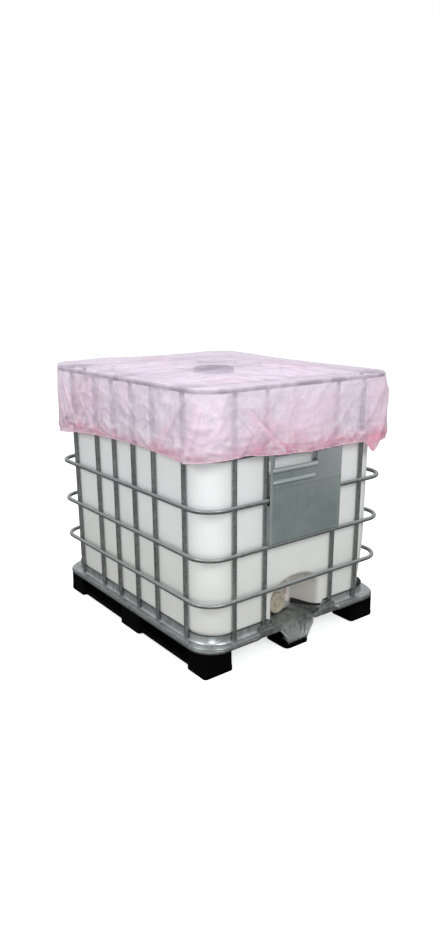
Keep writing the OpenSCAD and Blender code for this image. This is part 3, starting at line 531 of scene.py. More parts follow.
def hoops():
    """Swept tubes, pressed in by a millimetre where an upright is welded on, with a bead on the seam,
    and a painted highlight along their tops."""
    path, normal = outline(HOOP_X, HOOP_Y, BEND_R, (44, 120, 88, 26))
    angle = circle(20)
    dent = np.zeros(len(path))
    for post in POSTS:
        near = np.linalg.norm(path - post, axis=1)
        dent = np.maximum(dent, bell(np.maximum(near - 2 * TUBE_R, 0), 0.004) * (near < 0.05))
    dent = dent[:, None]
    seam = bell(path[:, :1], 0.004) * (path[:, 1:] > 0)
    radius = TUBE_R * (1 + 0.05 * seam)
    across = radius * np.cos(angle) * (1 - 0.12 * dent * smooth(-0.2, 1, -np.cos(angle)))
    rise = radius * np.sin(angle) * (1 - 0.05 * dent)
    # Painted highlight: the top of each tube is lighter, as where light falls from above.
    painted_top_highlight = np.broadcast_to(0.9 * smooth(0.2, 0.9, np.sin(angle)), across.shape)
    for name, axis_z in HOOP_Z.items():
        tube = grid(sweep(path, normal, across, axis_z + rise), True, True)
        piece(name + "_tube", [tube], tube_zinc, "container", [name], attributes={"wear_and_highlight": painted_top_highlight})


def wall_axes(out):
    """The way out of the cage and the way along its wall, in plan."""
    out = np.array(out, float)
    return out, np.array([-out[1], out[0]])


def upright(place, out, foot_z, flat_z, top_z):
    """A tube that is pressed flat from its foot up to flat_z: an ellipse whose axes blend from the flat
    foot's to the tube's, which is a little narrower along the wall than it is deep."""
    flat_t, flat_w, tube_w, blend_h = 0.0025, 0.013, 0.0078, 0.035
    round_z = flat_z + blend_h
    level = np.concatenate([
        np.linspace(foot_z, flat_z, 5), np.linspace(flat_z, round_z, 10)[1:],
        np.linspace(round_z, top_z, 40)[1:],
    ])
    share = smooth(flat_z - 0.01, round_z, level)[:, None]
    angle = circle(16)
    thick = (flat_t + (TUBE_R - flat_t) * share) * np.cos(angle)
    wide = (flat_w + (tube_w - flat_w) * share) * np.sin(angle)
    out, along = wall_axes(out)
    plan = np.array(place) + thick[..., None] * out + wide[..., None] * along
    return capped(lift(plan, level))


def weld(place, out, z):
    """A flattened bead where a hoop and an upright touch."""
    thick, wide, tall = 0.004, 0.0075, 0.0065
    tilt = np.linspace(-np.pi / 2, np.pi / 2, 7)[:, None]
    angle = circle(10)[None, :]
    out, along = wall_axes(out)
    plan = np.array(place) + TUBE_R * out + thick * (np.cos(tilt) * np.cos(angle))[..., None] * out
    plan = plan + wide * (np.cos(tilt) * np.sin(angle))[..., None] * along
    height = z + tall * np.sin(tilt) * np.ones_like(angle)
    return grid(np.concatenate([plan, height[..., None]], -1), closed_v=True)


def uprights():
    """The four rows of uprights with their welds, each row a piece. The two beside the valve reach further
    down and are flat behind the leg's wings."""
    valve_x, valve_flat_z, flat_h = 0.2, 0.152, 0.020
    outer_foot = extent("left_uprights")[0][2]
    for name, row in UPRIGHT_ROWS.items():
        low, high = extent(name)
        parts = []
        for place, out in row:
            at_valve = name == "front_uprights" and abs(place[0]) < valve_x
            foot_z = low[2] if at_valve else outer_foot
            flat_z = valve_flat_z if at_valve else foot_z + flat_h
            parts += upright(place, out, foot_z, flat_z, high[2])
            parts += [weld(place, out, z) for z in HOOP_Z.values()]
        piece(name + "_tubes", parts, tube_zinc, "container", [name])


def base_ring():
    """A swept tube that is open at the valve and pressed flat into a tongue at each end."""
    low, high = extent("base_ring")
    radius, tongue_t, tongue_h, tongue_in, half_gap = 0.010, 0.002, 0.015, 0.010, 0.147
    half_x, half_y = high[0] - radius, high[1] - radius
    path, normal = outline(half_x, half_y, BEND_R - 0.001, (60, 60, 50, 26), half_gap)
    near = np.where(path[:, 1] < FRONT_Y, np.abs(path[:, 0]), 1.0)
    flat = 1 - smooth(0.200, 0.235, near)[:, None]
    angle = circle(20)
    across = (radius + (tongue_t - radius) * flat) * np.cos(angle) - tongue_in * flat
    axis_z = (low[2] + high[2]) / 2
    height = axis_z + (radius + (tongue_h - radius) * flat) * np.sin(angle)
    parts = capped(sweep(path, normal, across, height))
    piece("base_ring_tube", parts, tube_zinc, "container", ["base_ring"])


def tray():
    """A pressed tray: one section carried round the bottle's foot, with a rolled lip, a bead in its wall
    and a flange that is cut away at the valve and grows wider round the corners. Beside the valve the wall
    is low. A row of the section is a reach and a height, and its shares of the flange and the lip's rise."""
    wall_x, wall_y, corner = 0.4635, 0.5635, 0.1075
    floor_z, lip_foot_z, top_z, notch_y = TRAY_LOW[2], 0.150, TRAY_HIGH[2], -0.425
    path, normal = outline(wall_x, wall_y, corner, (60, 70, 60, 26), VALVE_HALF_GAP)
    beside = np.where(path[:, 1] < FRONT_Y, np.abs(path[:, 0]), 1.0)[:, None]
    flange = smooth(0.214, 0.222, beside) * (1 + 1.28 * np.abs(normal[:, :1] * normal[:, 1:]))
    rise = (top_z - lip_foot_z) * smooth(0.145, 0.158, beside)
    stand = 0.06 + 0.94 * smooth(0.118, 0.150, beside)
    section = np.array([
        (-0.060, 0.0015, 0, 0), (-0.014, 0.0015, 0, 0), (-0.007, 0.0030, 0, 0), (-0.0025, 0.0075, 0, 0),
        (-0.0015, 0.0140, 0, 0), (-0.0015, 0.0470, 0, 1), (-0.0008, 0.0510, 0, 1), (0.0016, 0.0528, 0, 1),
        (0.0032, 0.0512, 0, 1), (0.0026, 0.0478, 0, 1), (0.0002, 0.0455, 0, 1), (0.0014, 0.0420, 0, 0.6),
        (0.0038, 0.0370, 0, 0.3), (0.0060, 0.0330, 0, 0), (0.0078, 0.0300, 0, 0),
        (0.0104, 0.0282, 0, 0), (0.0060, 0.0276, 0.014, 0), (0.0050, 0.0282, 0.0205, 0),
        (0.0050, 0.0278, 0.0232, 0), (0.0050, 0.0264, 0.0240, 0), (0.0050, 0.0262, 0.0226, 0),
        (0.0050, 0.0262, 0.014, 0), (0.0020, 0.0256, 0, 0), (0.0, 0.0180, 0, 0),
        (-0.0010, 0.0070, 0, 0), (-0.0060, 0.0014, 0, 0), (-0.0140, 0.0, 0, 0), (-0.060, 0.0, 0, 0),
    ])
    across = section[:, 0] + section[:, 2] * flange
    height = floor_z + section[:, 1] * stand + section[:, 3] * rise
    points = sweep(path, normal, across, height)
    notch = np.array([(-VALVE_HALF_GAP, notch_y), (VALVE_HALF_GAP, notch_y)])

    def floor(index):
        """A flat face inside the section's points of that index, with the cut at the valve."""
        inner = points[:, index]
        cut = np.column_stack([notch, np.full(2, inner[0, 2])])
        return disc(np.concatenate([inner, cut]))

    ends = [disc(points[k]) for k in (0, -1)]
    piece("pressed_tray", [grid(points, closed_v=True), floor(0), floor(-1)] + ends, tray_zinc, "container",
          ["base_tray"])


def recess_sill():
    """The tray's wall where it turns into the valve recess: a sheet that stands along a bent line beside
    the trough and grows lower towards the back, with a black strip along its top, a painted shade, that grows
    taller there."""
    sheet_t, shade_strip_h = 0.0015, 0.012
    line = np.array([[
        (0.149, -0.5662, 0.150), (0.140, -0.5625, 0.150), (0.131, -0.553, 0.148), (0.127, -0.530, 0.142),
        (0.127, -0.500, 0.136), (0.126, -0.460, 0.131), (0.125, -0.409, 0.124), (0.124, -0.392, 0.120),
    ]])
    x, y, top = rounded(line)[0].T
    foot_z = np.full(len(x), 0.0990)
    # Painted shade: a black rubber strip along the sill's top stands in for the shadow inside the recess.
    seam = top - shade_strip_h * (1 + smooth(-0.54, -0.42, y))
    stripes = (
        ("recess_sill", leg_zinc, "galvanised_sheet", foot_z, np.maximum(seam, foot_z)),
        ("recess_shade_strip", seal_rubber, "seal_rubber", seam, top),
    )
    for name, finish, slot, low, high in stripes:
        z = np.linspace(low, high, 8, axis=1)
        wide, deep = (np.broadcast_to(row[:, None], z.shape) for row in (x, y))
        parts = [grid(np.stack([s * wide, deep, z], -1)) for s in (-1, 1)]
        thicken(piece(name, parts, finish, "container", ()), sheet_t)


def front_leg():
    """A trough lofted through five stations, with folded edges and pressed ridges, a wing on each side that
    slopes down towards it, and a heel on the skid. A station is the y, z and half width of the trough's
    floor and then of its edge."""
    sheet_t, lip_z, strip = 0.002, 0.0979, 0.004
    wing_in, wing_out, wing_y, wing_z, tip_r = 0.070, 0.217, 0.577, 0.098, 0.020
    stations = np.array([
        (-0.413, 0.0939, 0.076, -0.413, lip_z, 0.088), (-0.498, 0.0839, 0.074, -0.513, lip_z, 0.090),
        (-0.531, 0.0619, 0.060, -wing_y, lip_z, 0.094), (-0.553, 0.0390, 0.045, -wing_y, 0.0590, 0.071),
        (-0.569, 0.0220, 0.034, -wing_y, 0.0200, 0.048),
    ])
    floor_y, floor_z, floor_w, side_y, side_z, side_w = stations.T
    right = [
        np.stack([0 * floor_w, floor_y, floor_z], -1), np.stack([0.6 * floor_w, floor_y, floor_z], -1),
        np.stack([floor_w, floor_y, floor_z], -1), np.stack([side_w, side_y, side_z], -1),
        np.stack([side_w + strip, side_y, side_z], -1),
    ]
    left = [row * np.array([-1, 1, 1]) for row in right[:0:-1]]
    across = rounded(np.stack(left + right, 1))
    shell = rounded(across.transpose(1, 0, 2)).transpose(1, 0, 2)
    share = np.linspace(-1, 1, shell.shape[1])[None, :, None]
    ridges = sum(bell(np.abs(share) - middle, 0.035) for middle in (0.42, 0.56, 0.70))
    facing = np.cross(np.gradient(shell, axis=0), np.gradient(shell, axis=1))
    facing /= np.linalg.norm(facing, axis=2, keepdims=True)
    shell = shell + 0.0035 * ridges * facing
    trough = piece("leg_trough", [grid(shell)], leg_zinc, "container", ["front_leg"])
    thicken(trough, sheet_t)
    x, t = np.meshgrid(np.linspace(wing_in, wing_out, 36), np.linspace(0, 1, 16), indexing="ij")
    tip = 0.016 * (1 - np.sqrt(1 - np.square(np.clip((x - wing_out + tip_r) / 0.0201, 0, 0.999))))
    z = wing_z + tip + (0.016 + 0.036 * smooth(0.080, 0.165, x) - 2 * tip) * t
    press = 0.0025 * bell(z - 0.124, 0.007) * smooth(0.110, 0.122, x) * (1 - smooth(0.195, 0.207, x))
    back = 0.026 * (1 - smooth(0.060, 0.108, x))
    edge = 0.002 * smooth(0.85, 1.0, t)
    wings = [grid(np.stack([s * x, -wing_y + back - press - edge, z], -1)) for s in (-1, 1)]
    thicken(piece("leg_wings", wings, leg_zinc, "container", ()), sheet_t)
    heel = block((-0.040, -0.571, 0.0201), (0.040, -0.519, 0.0221), 0.004, 0.0006)
    piece("leg_heel", heel, leg_zinc, "container", ())


def front_plate():
    """A sheet that stands forward by a formula of its x and z: folded edges, two pressed ribs, a faint bend
    and a window with a turned rim. It has painted highlights on its ribs' upper sides and its upper right,
    and is lighter along its left edge."""
    low, high = extent("front_plate")
    left, right, foot, head = low[0], high[0], low[2], high[2]
    plate_y, sheet_t = -0.6008, 0.0012
    window_x, window_z = (-0.172, 0.054), (0.8002, 0.8422)
    xs = np.concatenate([np.linspace(left, right, 130), window_x, np.linspace(left, left + 0.02, 14),
                         np.linspace(right - 0.02, right, 14)])
    zs = np.concatenate([np.linspace(foot, head, 120), window_z, np.linspace(0.73, 0.80, 50)])
    x, z = np.meshgrid(np.unique(xs.round(6)), np.unique(zs.round(6)), indexing="ij")
    edge = np.minimum(x - left, right - x)
    rise = 0.0018 * (1 - smooth(0.012, 0.0145, edge)) - 0.0012 * (1 - smooth(0, 0.0015, edge))
    wear_and_highlight = 0.35 * (1 - smooth(0.010, 0.0145, x - left))
    # Painted highlight: lighter towards the upper right, where more light falls.
    wear_and_highlight = wear_and_highlight + 0.62 * smooth(-0.10, 0.19, x) * smooth(0.58, 0.86, z)
    for rib_z, rib_left, rib_right in ((0.788, -0.179, 0.057), (0.742, -0.178, 0.045)):
        away = np.hypot(x - np.clip(x, rib_left + 0.008, rib_right - 0.008), z - rib_z)
        rise = rise + 0.0058 * np.sqrt(np.clip(1 - np.square(away / 0.0095), 0, 1))
        # Painted highlight on the upper side of each rib, which faces the light.
        wear_and_highlight = wear_and_highlight + 0.8 * (1 - smooth(0.005, 0.0095, away)) * smooth(-0.006, 0.002, z - rib_z)
    bend = 0.0010 * bell(z - 0.722, 0.006)
    rim_x = np.maximum(window_x[0] - x, x - window_x[1])
    rim_z = np.maximum(window_z[0] - z, z - window_z[1])
    rim = 0.0012 * (1 - smooth(0.001, 0.006, np.maximum(rim_x, rim_z)))
    dull = 0.0006 * (noise(x * 8 + 9, z * 8, 5) - 0.5)
    points = np.stack([x, plate_y - rise - bend - rim - dull, z], -1)
    verts, faces = grid(points)
    middle = verts[faces].mean(1)
    inside_x = (middle[:, 0] > window_x[0]) & (middle[:, 0] < window_x[1])
    inside_z = (middle[:, 2] > window_z[0]) & (middle[:, 2] < window_z[1])
    sheet = piece("front_panel", [(verts, faces[~(inside_x & inside_z)])], plate_zinc, "container",
                  ["front_plate"], attributes={"wear_and_highlight": wear_and_highlight})
    thicken(sheet, sheet_t)
    sides = []
    for start, end in ((-0.192, -0.1908), (0.1908, 0.192)):
        sides += block((start, -0.6005, foot), (end, -0.583, 0.655), 0.0004, 0.0003)
    piece("panel_sides", sides, plate_zinc, "container", ())


# The square hole in the bottle's wall that the pocket fills: half its width, its top and its columns
HOLE_X, HOLE_Z, HOLE_COLUMNS = 0.25, 0.42, 40
POCKET_DEPTH = 0.196


def bottle_wall(level, inset):
    """Rings of points for each height of the bottle's wall, which start at the hole's left side and have
    even columns up to its right side. The corners grow rounder towards the foot."""
    half_x, half_y = BOTTLE_HIGH[0] - inset, BOTTLE_HIGH[1] - inset
    corner = 0.105 + 0.045 * (1 - smooth(0.10, 0.42, level)) - inset
    plan, _ = ring(half_x, half_y, corner, (12, 80, 72, 24), HOLE_X)
    columns = np.linspace(-HOLE_X, HOLE_X, HOLE_COLUMNS + 1)[1:-1]
    x = np.broadcast_to(columns, (len(level), len(columns)))
    front = np.stack([x, np.broadcast_to(-half_y[:, None], x.shape)], -1)
    return lift(np.concatenate([plan[:, -1:], front, plan[:, :-1]], 1), level)


def arch(half_w, height, spring_z, legs_z, count):
    """An arch in the XZ plane for each row: two legs, and between them a superellipse of power 2.1."""
    power = 2 / 2.1
    angle = np.pi * np.arange(1, count) / count
    one = np.ones_like(legs_z)
    half_w = half_w[:, None]
    bow_x = -half_w * signed_power(np.cos(angle), power)
    bow_z = spring_z + height[:, None] * np.sin(angle) ** power
    legs = np.broadcast_to(legs_z, (len(half_w), len(legs_z)))
    x = np.concatenate([-half_w * one, bow_x, half_w * one], 1)
    return x, np.concatenate([legs, bow_z, legs[:, ::-1]], 1)


def valve_pocket(border, level, inset, rows):
    """Rings of points from the border of the wall's hole to the middle of the pocket's back: a profile of a
    round lip, a straight wall and a fillet, carried round the arch."""
    front_y, foot_z = -BOTTLE_HIGH[1], BOTTLE_LOW[2]
    lip, fillet, spring_z, half_w, arch_h = 0.024, 0.030, 0.225, 0.131, 0.087
    wide = half_w + lip
    tall = arch_h / (1 - lip / wide)
    bow = np.linspace(0, np.pi / 2, 9)
    inward = np.concatenate([
        lip * np.sin(bow), [lip + 0.003], lip + 0.003 + fillet * (1 - np.cos(bow)),
        [0.55 * wide, 0.72 * wide, 0.89 * wide, wide],
    ])
    back = np.concatenate([
        lip * (1 - np.cos(bow)), [POCKET_DEPTH / 2], POCKET_DEPTH - fillet + fillet * np.sin(bow),
        [POCKET_DEPTH] * 4,
    ])
    legs_z = foot_z + (spring_z - foot_z) * (level[:rows + 1] - foot_z) / (HOLE_Z - foot_z)
    x, z = arch(wide - inward, tall * (1 - inward / wide), spring_z, legs_z, HOLE_COLUMNS)
    y = np.maximum(front_y + np.interp(z, level, inset), front_y + back[:, None])
    pocket = np.stack([x, y, z], -1)
    rim = border + (pocket[0] - border) * np.linspace(0, 1, 4)[:-1, None, None]
    return np.concatenate([rim, pocket])


def bottle_top(rim):
    """The deck, which runs straight from the wall's top ring to the neck, and the neck with its thread and
    its mouth, as rings that follow the points of the wall's top ring."""
    deck_z, neck_r = BOTTLE_HIGH[2], 0.0825
    top = MOUTH_Z - deck_z
    angle = np.arctan2(rim[:, 1], rim[:, 0])
    spoke = np.stack([np.cos(angle), np.sin(angle), np.zeros_like(angle)], -1)
    neck = np.array([
        (neck_r + 0.006, 0), (neck_r + 0.0015, 0.0015), (neck_r - 0.002, 0.006), (neck_r - 0.002, 0.011),
        (neck_r, 0.0125), (neck_r - 0.002, 0.014), (neck_r - 0.002, 0.019), (neck_r, 0.0205),
        (neck_r - 0.002, 0.022), (neck_r - 0.002, top - 0.002), (neck_r - 0.004, top), (0.077, top),
        (0.075, top - 0.002), (0.075, -0.04),
    ])
    tower = neck[:, 0][:, None, None] * spoke + np.array([0, 0, 1]) * (deck_z + neck[:, 1])[:, None, None]
    share = np.linspace(0, 1, 8)[:-1, None, None]
    rings = np.concatenate([rim * (1 - share) + tower[0] * share, tower])
    return [grid(rings, closed_v=True), disc(rings[-1])]


def outlet_neck():
    """The outlet's neck on the back of the pocket, turned about the outlet's axis."""
    profile = [
        (PASSAGE_R, -0.001), (0.044, -0.001), (0.038, 0.003), (0.036, 0.008), (0.036, 0.0175),
        (0.0355, 0.018), (PASSAGE_R + 0.0005, 0.018), (PASSAGE_R, 0.0175), (PASSAGE_R, -0.001),
    ]
    return lathe(profile, (0, -BOTTLE_HIGH[1] + POCKET_DEPTH, OUTLET_Z), OUT)


def bottle():
    """The bottle's skin: a wall with round edges above and below and a square hole at the front, the pocket
    that fills the hole, a flat floor, the top and the outlet's neck."""
    foot_z, deck_z, edge = BOTTLE_LOW[2], BOTTLE_HIGH[2], 0.042
    quarter = np.linspace(0, np.pi / 2, 9)
    level = np.concatenate([
        foot_z + edge * (1 - np.cos(quarter)), np.linspace(foot_z + edge, HOLE_Z, 18)[1:],
        np.linspace(HOLE_Z, deck_z - edge, 40)[1:], deck_z - edge + edge * np.sin(quarter[1:]),
    ])
    straight = np.zeros(len(level) - 2 * len(quarter) + 1)
    inset = np.concatenate([edge * (1 - np.sin(quarter)), straight, edge * (1 - np.cos(quarter[1:]))])
    wall = bottle_wall(level, inset)
    rows = int(np.argmin(np.abs(level - HOLE_Z)))
    verts, faces = grid(wall, closed_v=True)
    row, column = np.divmod(faces[:, 0], wall.shape[1])
    parts = [(verts, faces[(row >= rows) | (column >= HOLE_COLUMNS)])]

    left, head, right = wall[:rows + 1, 0], wall[rows, 1:HOLE_COLUMNS], wall[rows::-1, HOLE_COLUMNS]
    pocket = valve_pocket(np.concatenate([left, head, right]), level, inset, rows)
    under = np.concatenate([wall[0, HOLE_COLUMNS:], pocket[:, 0], pocket[-2::-1, -1]])
    parts += [grid(pocket), disc(under)] + bottle_top(wall[-1]) + [outlet_neck()]
    piece("bottle_skin", parts, tank_white, "container",
          ["bottle", "bottle_deck", "neck_collar", "fill_neck", "valve_pocket", "outlet_neck"])


def skid_foot(low, high):
    """A moulded foot between two corners in plan: a base step, drafted sides and bevelled edges, as rings at
    a few heights."""
    low, high = np.array(low), np.array(high)
    middle, half = (low + high) / 2, (high - low) / 2
    inset = np.array([0.003, 0.0008, 0, 0, 0.0008, 0.0016, 0.003, 0.0036, 0.005])
    level = np.array([0, 0.0010, 0.003, 0.020, 0.0215, 0.023, 0.092, 0.0965, 0.098])
    plan, _ = ring(half[0] - inset, half[1] - inset, 0.014 - inset, (6, 12, 12, 8))
    return capped(lift(plan + middle, level))


def skids():
    """Feet and runners of the three skids. The centre skid has a flat pad for the leg in the place of its
    front foot."""
    corner_y, corner_l, middle_l, pad_l, pad_t = 0.507, 0.125, 0.160, 0.14, 0.020
    runner_low, runner_high, runner_in, runner_lap = 0.009, 0.035, 0.011, 0.02
    for name in ("left_skid", "right_skid", "centre_skid"):
        low, high = extent(name)
        left, right = low[0] + runner_in, high[0] - runner_in
        feet = [(0.0, middle_l), (corner_y, corner_l)]
        runners = [(middle_l / 2 - runner_lap, corner_y - corner_l / 2 + runner_lap)]
        if name != "centre_skid":
            feet.append((-corner_y, corner_l))
            runners.append((-runners[0][1], -runners[0][0]))
        parts = []
        for y, length in feet:
            parts += skid_foot((low[0], y - length / 2), (high[0], y + length / 2))
        if name == "centre_skid":
            pad_y = low[1] + pad_l
            parts += block((low[0], low[1], 0), (high[0], pad_y, pad_t), 0.022, 0.004)
            start, end = pad_y - runner_lap, -runners[0][0]
            parts += block((left, start, runner_low), (right, end, pad_t), 0.003, 0.002)
        for start, end in runners:
            parts += block((left, start, runner_low), (right, end, runner_high), 0.004, 0.003)
        piece(name + "_moulding", parts, black_plastic, "container", [name])


def union_nut():
    """A bevelled ring with eight lugs, turned about the outlet's axis."""
    low, high = extent("union_nut")
    length = high[1] - low[1]
    inner, outer, bevel = 0.0363, 0.042, 0.0015
    profile = [(inner, 0), (outer - bevel, 0), (outer, bevel), (outer, length - bevel),
               (outer - bevel, length), (inner, length), (inner, 0)]
    lugs = {"count": 96, "ribs": 8, "depth": 0.002, "ribbed": [0, 0, 1, 1, 0, 0, 0]}
    ring_part = lathe(profile, (0, high[1], OUTLET_Z), OUT, **lugs)
    piece("union_ring", [ring_part], valve_plastic, "container", ["union_nut"])


def valve_body():
    """A barrel with a flange at its back and a thread of four ridges at its front, turned about the outlet's
    axis, and a boss with a seat for the seal, turned about the stem's axis."""
    low, high = extent("valve_body")
    length = high[1] - low[1]
    start, pitch, boss_z = length - 0.019, 0.0045, OUTLET_Z + 0.030
    ridge = ((0.0362, 0), (0.038, 0.0015), (0.0362, 0.003))
    thread = [(radius, start + pitch * k + along) for k in range(4) for radius, along in ridge]
    barrel = [(PASSAGE_R, 0), (0.039, 0), (0.039, 0.0055), (0.0385, 0.006), (0.036, 0.0065),
              (0.036, start - 0.001)]
    barrel += thread + [(0.036, length - 0.0005), (0.0355, length), (PASSAGE_R + 0.0005, length),
                        (PASSAGE_R, length - 0.0005), (PASSAGE_R, 0)]
    boss_h = high[2] - boss_z
    boss = [(0.0, 0.0), (0.0135, 0.0), (0.0135, 0.003), (0.0140, 0.008), (0.014, boss_h - 0.0012),
            (0.0128, boss_h), (0.0112, boss_h), (0.0112, boss_h - 0.004), (0.0, boss_h - 0.004)]
    parts = [lathe(barrel, (0, high[1], OUTLET_Z), OUT), lathe(boss, (0, STEM_Y, boss_z), (0, 0, 1))]
    piece("valve_housing", parts, valve_plastic, "container", ["valve_body"])


def outlet_cap():
    """A ribbed cap with a sunk ring in its face and a plug inside that stands in the passage, turned about
    the outlet's axis."""
    low, high = extent("outlet_cap")
    length = high[1] - low[1]
    inner, plug_r = 0.0384, PASSAGE_R - 0.001
    cap = [(inner, 0), (0.043, 0), (0.044, 0.001), (0.044, length - 0.005), (0.0435, length - 0.003),
           (0.041, length - 0.0005), (0.039, length), (0.031, length), (0.0297, length - 0.0015),
           (0.0275, length - 0.006), (0.018, length - 0.006), (0.0165, length - 0.001), (0.015, length),
           (0.0, length), (0.0, length - 0.008), (plug_r, length - 0.008), (plug_r, length - 0.004),
           (inner, length - 0.004), (inner, 0)]
    ribs = {"count": 144, "ribs": 18, "depth": 0.003, "ribbed": [0, 0.6, 1, 1, 0.8] + [0] * 14}
    part = lathe(cap, (0, high[1], OUTLET_Z), OUT, **ribs)
    piece("ribbed_cap", [part], valve_plastic, "cap", ["outlet_cap"])


def handle():
    """A hub on the stem, an arm and a grip at its end. The arm is a superellipse of power 4 carried along a
    line that bends down, and grows wider and thicker towards the grip."""
    low, high = extent("handle")
    hub_h, end_x, end_z = 0.012, high[0] - 0.003, low[2]
    hub_z = high[2] - hub_h
    arm_z = hub_z + hub_h / 2
    hub = [(0.0, 0.0), (0.0145, 0.0), (0.016, 0.0015), (0.016, 0.010), (0.0145, hub_h), (0.0065, hub_h),
           (0.0, hub_h)]
    line = rounded(np.array([[
        (0.0, 0, arm_z), (0.55 * high[0], 0, arm_z), (end_x, 0, arm_z), (end_x, 0, end_z + 0.03),
        (end_x, 0, end_z),
    ]]))[0]
    ahead = np.gradient(line, axis=0)
    ahead /= np.linalg.norm(ahead, axis=1, keepdims=True)
    above = np.stack([-ahead[:, 2], 0 * ahead[:, 0], ahead[:, 0]], -1)
    angle = circle(16)
    share = np.linspace(0, 1, len(line))[:, None]
    wide = (0.012 + 0.002 * smooth(0.5, 0.9, share)) * signed_power(np.cos(angle), 0.5)
    thick = (0.004 + 0.002 * smooth(0.6, 0.9, share)) * signed_power(np.sin(angle), 0.5)
    section = wide[..., None] * np.array([0, 1, 0]) + thick[..., None] * above[:, None, :]
    arm = line[:, None, :] + section + np.array([0, STEM_Y, 0])
    grip_low, grip_high = (high[0] - 0.024, low[1] + 0.004, end_z), (high[0], high[1] - 0.004, end_z + 0.022)
    parts = [lathe(hub, (0, STEM_Y, hub_z), (0, 0, 1))] + capped(arm)
    parts += block(grip_low, grip_high, 0.006, 0.003)
    piece("lever_handle", parts, handle_plastic, "valve_lever", ["handle"])


def lid():
    """A screw lid: ribbed skirt, rounded edge, and a sunk ring round a bung."""
    low, high = extent("lid")
    height = high[2] - low[2]
    inner, rim = 0.083, 0.0875
    profile = [
        (inner, 0), (rim - 0.001, 0), (rim, 0.002), (rim, height - 0.006), (rim - 0.001, height - 0.003),
        (rim - 0.004, height - 0.0005), (rim - 0.007, height), (0.074, height), (0.072, height - 0.003),
        (0.036, height - 0.003), (0.034, height - 0.0005), (0.026, height - 0.0005),
        (0.0245, height - 0.002), (0.0, height - 0.002), (0.0, height - 0.007), (inner, height - 0.007),
        (inner, 0),
    ]
    ribs = {"count": 192, "ribs": 32, "depth": 0.0014, "ribbed": [0, 0.5, 1, 1, 0.5] + [0] * 12}
    part = lathe(profile, (0, 0, low[2]), (0, 0, 1), **ribs)
    piece("screw_lid", [part], lid_plastic, "lid", ["lid"])


# How far the film stands off the rim's axis, at its side, over it and at its hem, and the height of its top
FILM_OFF, FILM_OVER, HEM_OFF, FILM_TOP_Z = 0.0135, 0.0094, 0.0180, 1.1415
# Points round the film as ring counts them, and rows of points in its top and its skirt
FILM_COUNTS, TOP_ROWS, SKIRT_ROWS = (58, 144, 116, 32), 36, 50
# Places round the rim are counted so that the whole way round is this long
ROUND = 4.088
CORNER_WAYS = (0.461, 1.583, 2.505, 3.627)
BACK_LEFT = CORNER_WAYS[2]
# Pleats in the hem, and the most that the skirt's folds stand out
GATHERS, SWELL = 140, 0.020
# How far the skirt hangs below the rim's axis on the whole
SKIRT_DROP = RIM_Z - 0.848
# The tail of the skirt that hangs lower at the front: its place, width, drop and how far it stands out
TAIL_WAY, TAIL_W, TAIL_DROP, TAIL_OUT = 0.358, 0.034, 0.048, 0.006
# The thin spot of the film's top: its place and width
THIN_X, THIN_Y, THIN_W = -0.150, -0.200, 0.15
# The hem: places round the rim, each with its height
HEM_LINE = (
    (0.0, 0.845), (0.16, 0.847), (0.351, 0.846), (0.461, 0.836), (0.52, 0.808), (0.65, 0.820),
    (0.75, 0.842), (1.05, 0.842), (1.30, 0.848), (1.583, 0.838), (1.85, 0.846), (2.05, 0.840),
    (2.30, 0.846), (2.505, 0.812), (2.636, 0.828), (2.839, 0.851), (2.99, 0.859), (3.142, 0.864),
    (3.293, 0.866), (3.496, 0.856), (3.56, 0.851), (3.627, 0.862), (3.68, 0.866), (3.78, 0.872),
    (3.876, 0.858),
)
# The slanted folds: where each starts and ends, as a place round the rim and a share of the skirt's drop,
# then its width and its height
FOLDS = (
    ((3.735, 0.16), (3.965, 1.02), 0.016, 0.017), ((3.700, 0.30), (3.850, 1.00), 0.011, 0.010),
    ((3.800, 0.10), (3.900, 0.60), 0.012, 0.007), ((3.560, 0.08), (3.400, 0.95), 0.014, 0.012),
    ((3.500, 0.35), (3.340, 1.00), 0.012, 0.009), ((3.610, 0.20), (3.560, 0.95), 0.010, 0.009),
    ((2.600, 0.05), (2.780, 0.95), 0.014, 0.012), ((2.560, 0.25), (2.660, 1.00), 0.011, 0.010),
    ((2.720, 0.10), (2.900, 0.90), 0.012, 0.008), ((0.420, 0.05), (0.270, 0.95), 0.013, 0.010),
    ((0.480, 0.10), (0.380, 0.95), 0.012, 0.011), ((0.230, 0.30), (0.060, 0.95), 0.014, 0.008),
    ((0.520, 0.10), (0.680, 0.95), 0.014, 0.012), ((1.520, 0.10), (1.360, 1.00), 0.014, 0.012),
    ((1.640, 0.10), (1.800, 0.95), 0.014, 0.012), ((2.420, 0.15), (2.260, 1.00), 0.014, 0.011),
    ((0.950, 0.20), (1.100, 1.00), 0.016, 0.009), ((2.000, 0.25), (2.120, 1.00), 0.016, 0.009),
)


def film_edge():
    """The rim's axis in plan, its normals, and the way round it from the middle of the front."""
    path, normal = outline(HOOP_X, HOOP_Y, BEND_R, FILM_COUNTS)
    steps = np.linalg.norm(np.roll(path, -1, 0) - path, axis=1)
    return path, normal, ROUND * (np.cumsum(steps) - steps) / steps.sum()


def apart(way, place):
    """How far the way round is from a place, by the shorter side."""
    return (way - place + ROUND / 2) % ROUND - ROUND / 2


def wander(way, count, seed):
    """Noise along the way round, with that many cells."""
    return noise(way / ROUND * count, 0.5 + 0 * way, seed, count)


def hem_height(way):
    """Heights of the hem, joined by straight lines along the way round."""
    places, heights = np.array(HEM_LINE).T
    return np.interp(way, places, heights, period=ROUND)


def gathers(way):
    """Pleats from 0 to 1: a cosine whose phase wanders."""
    return wave(GATHERS * way / ROUND + 2.6 * wander(way, 46, 21))


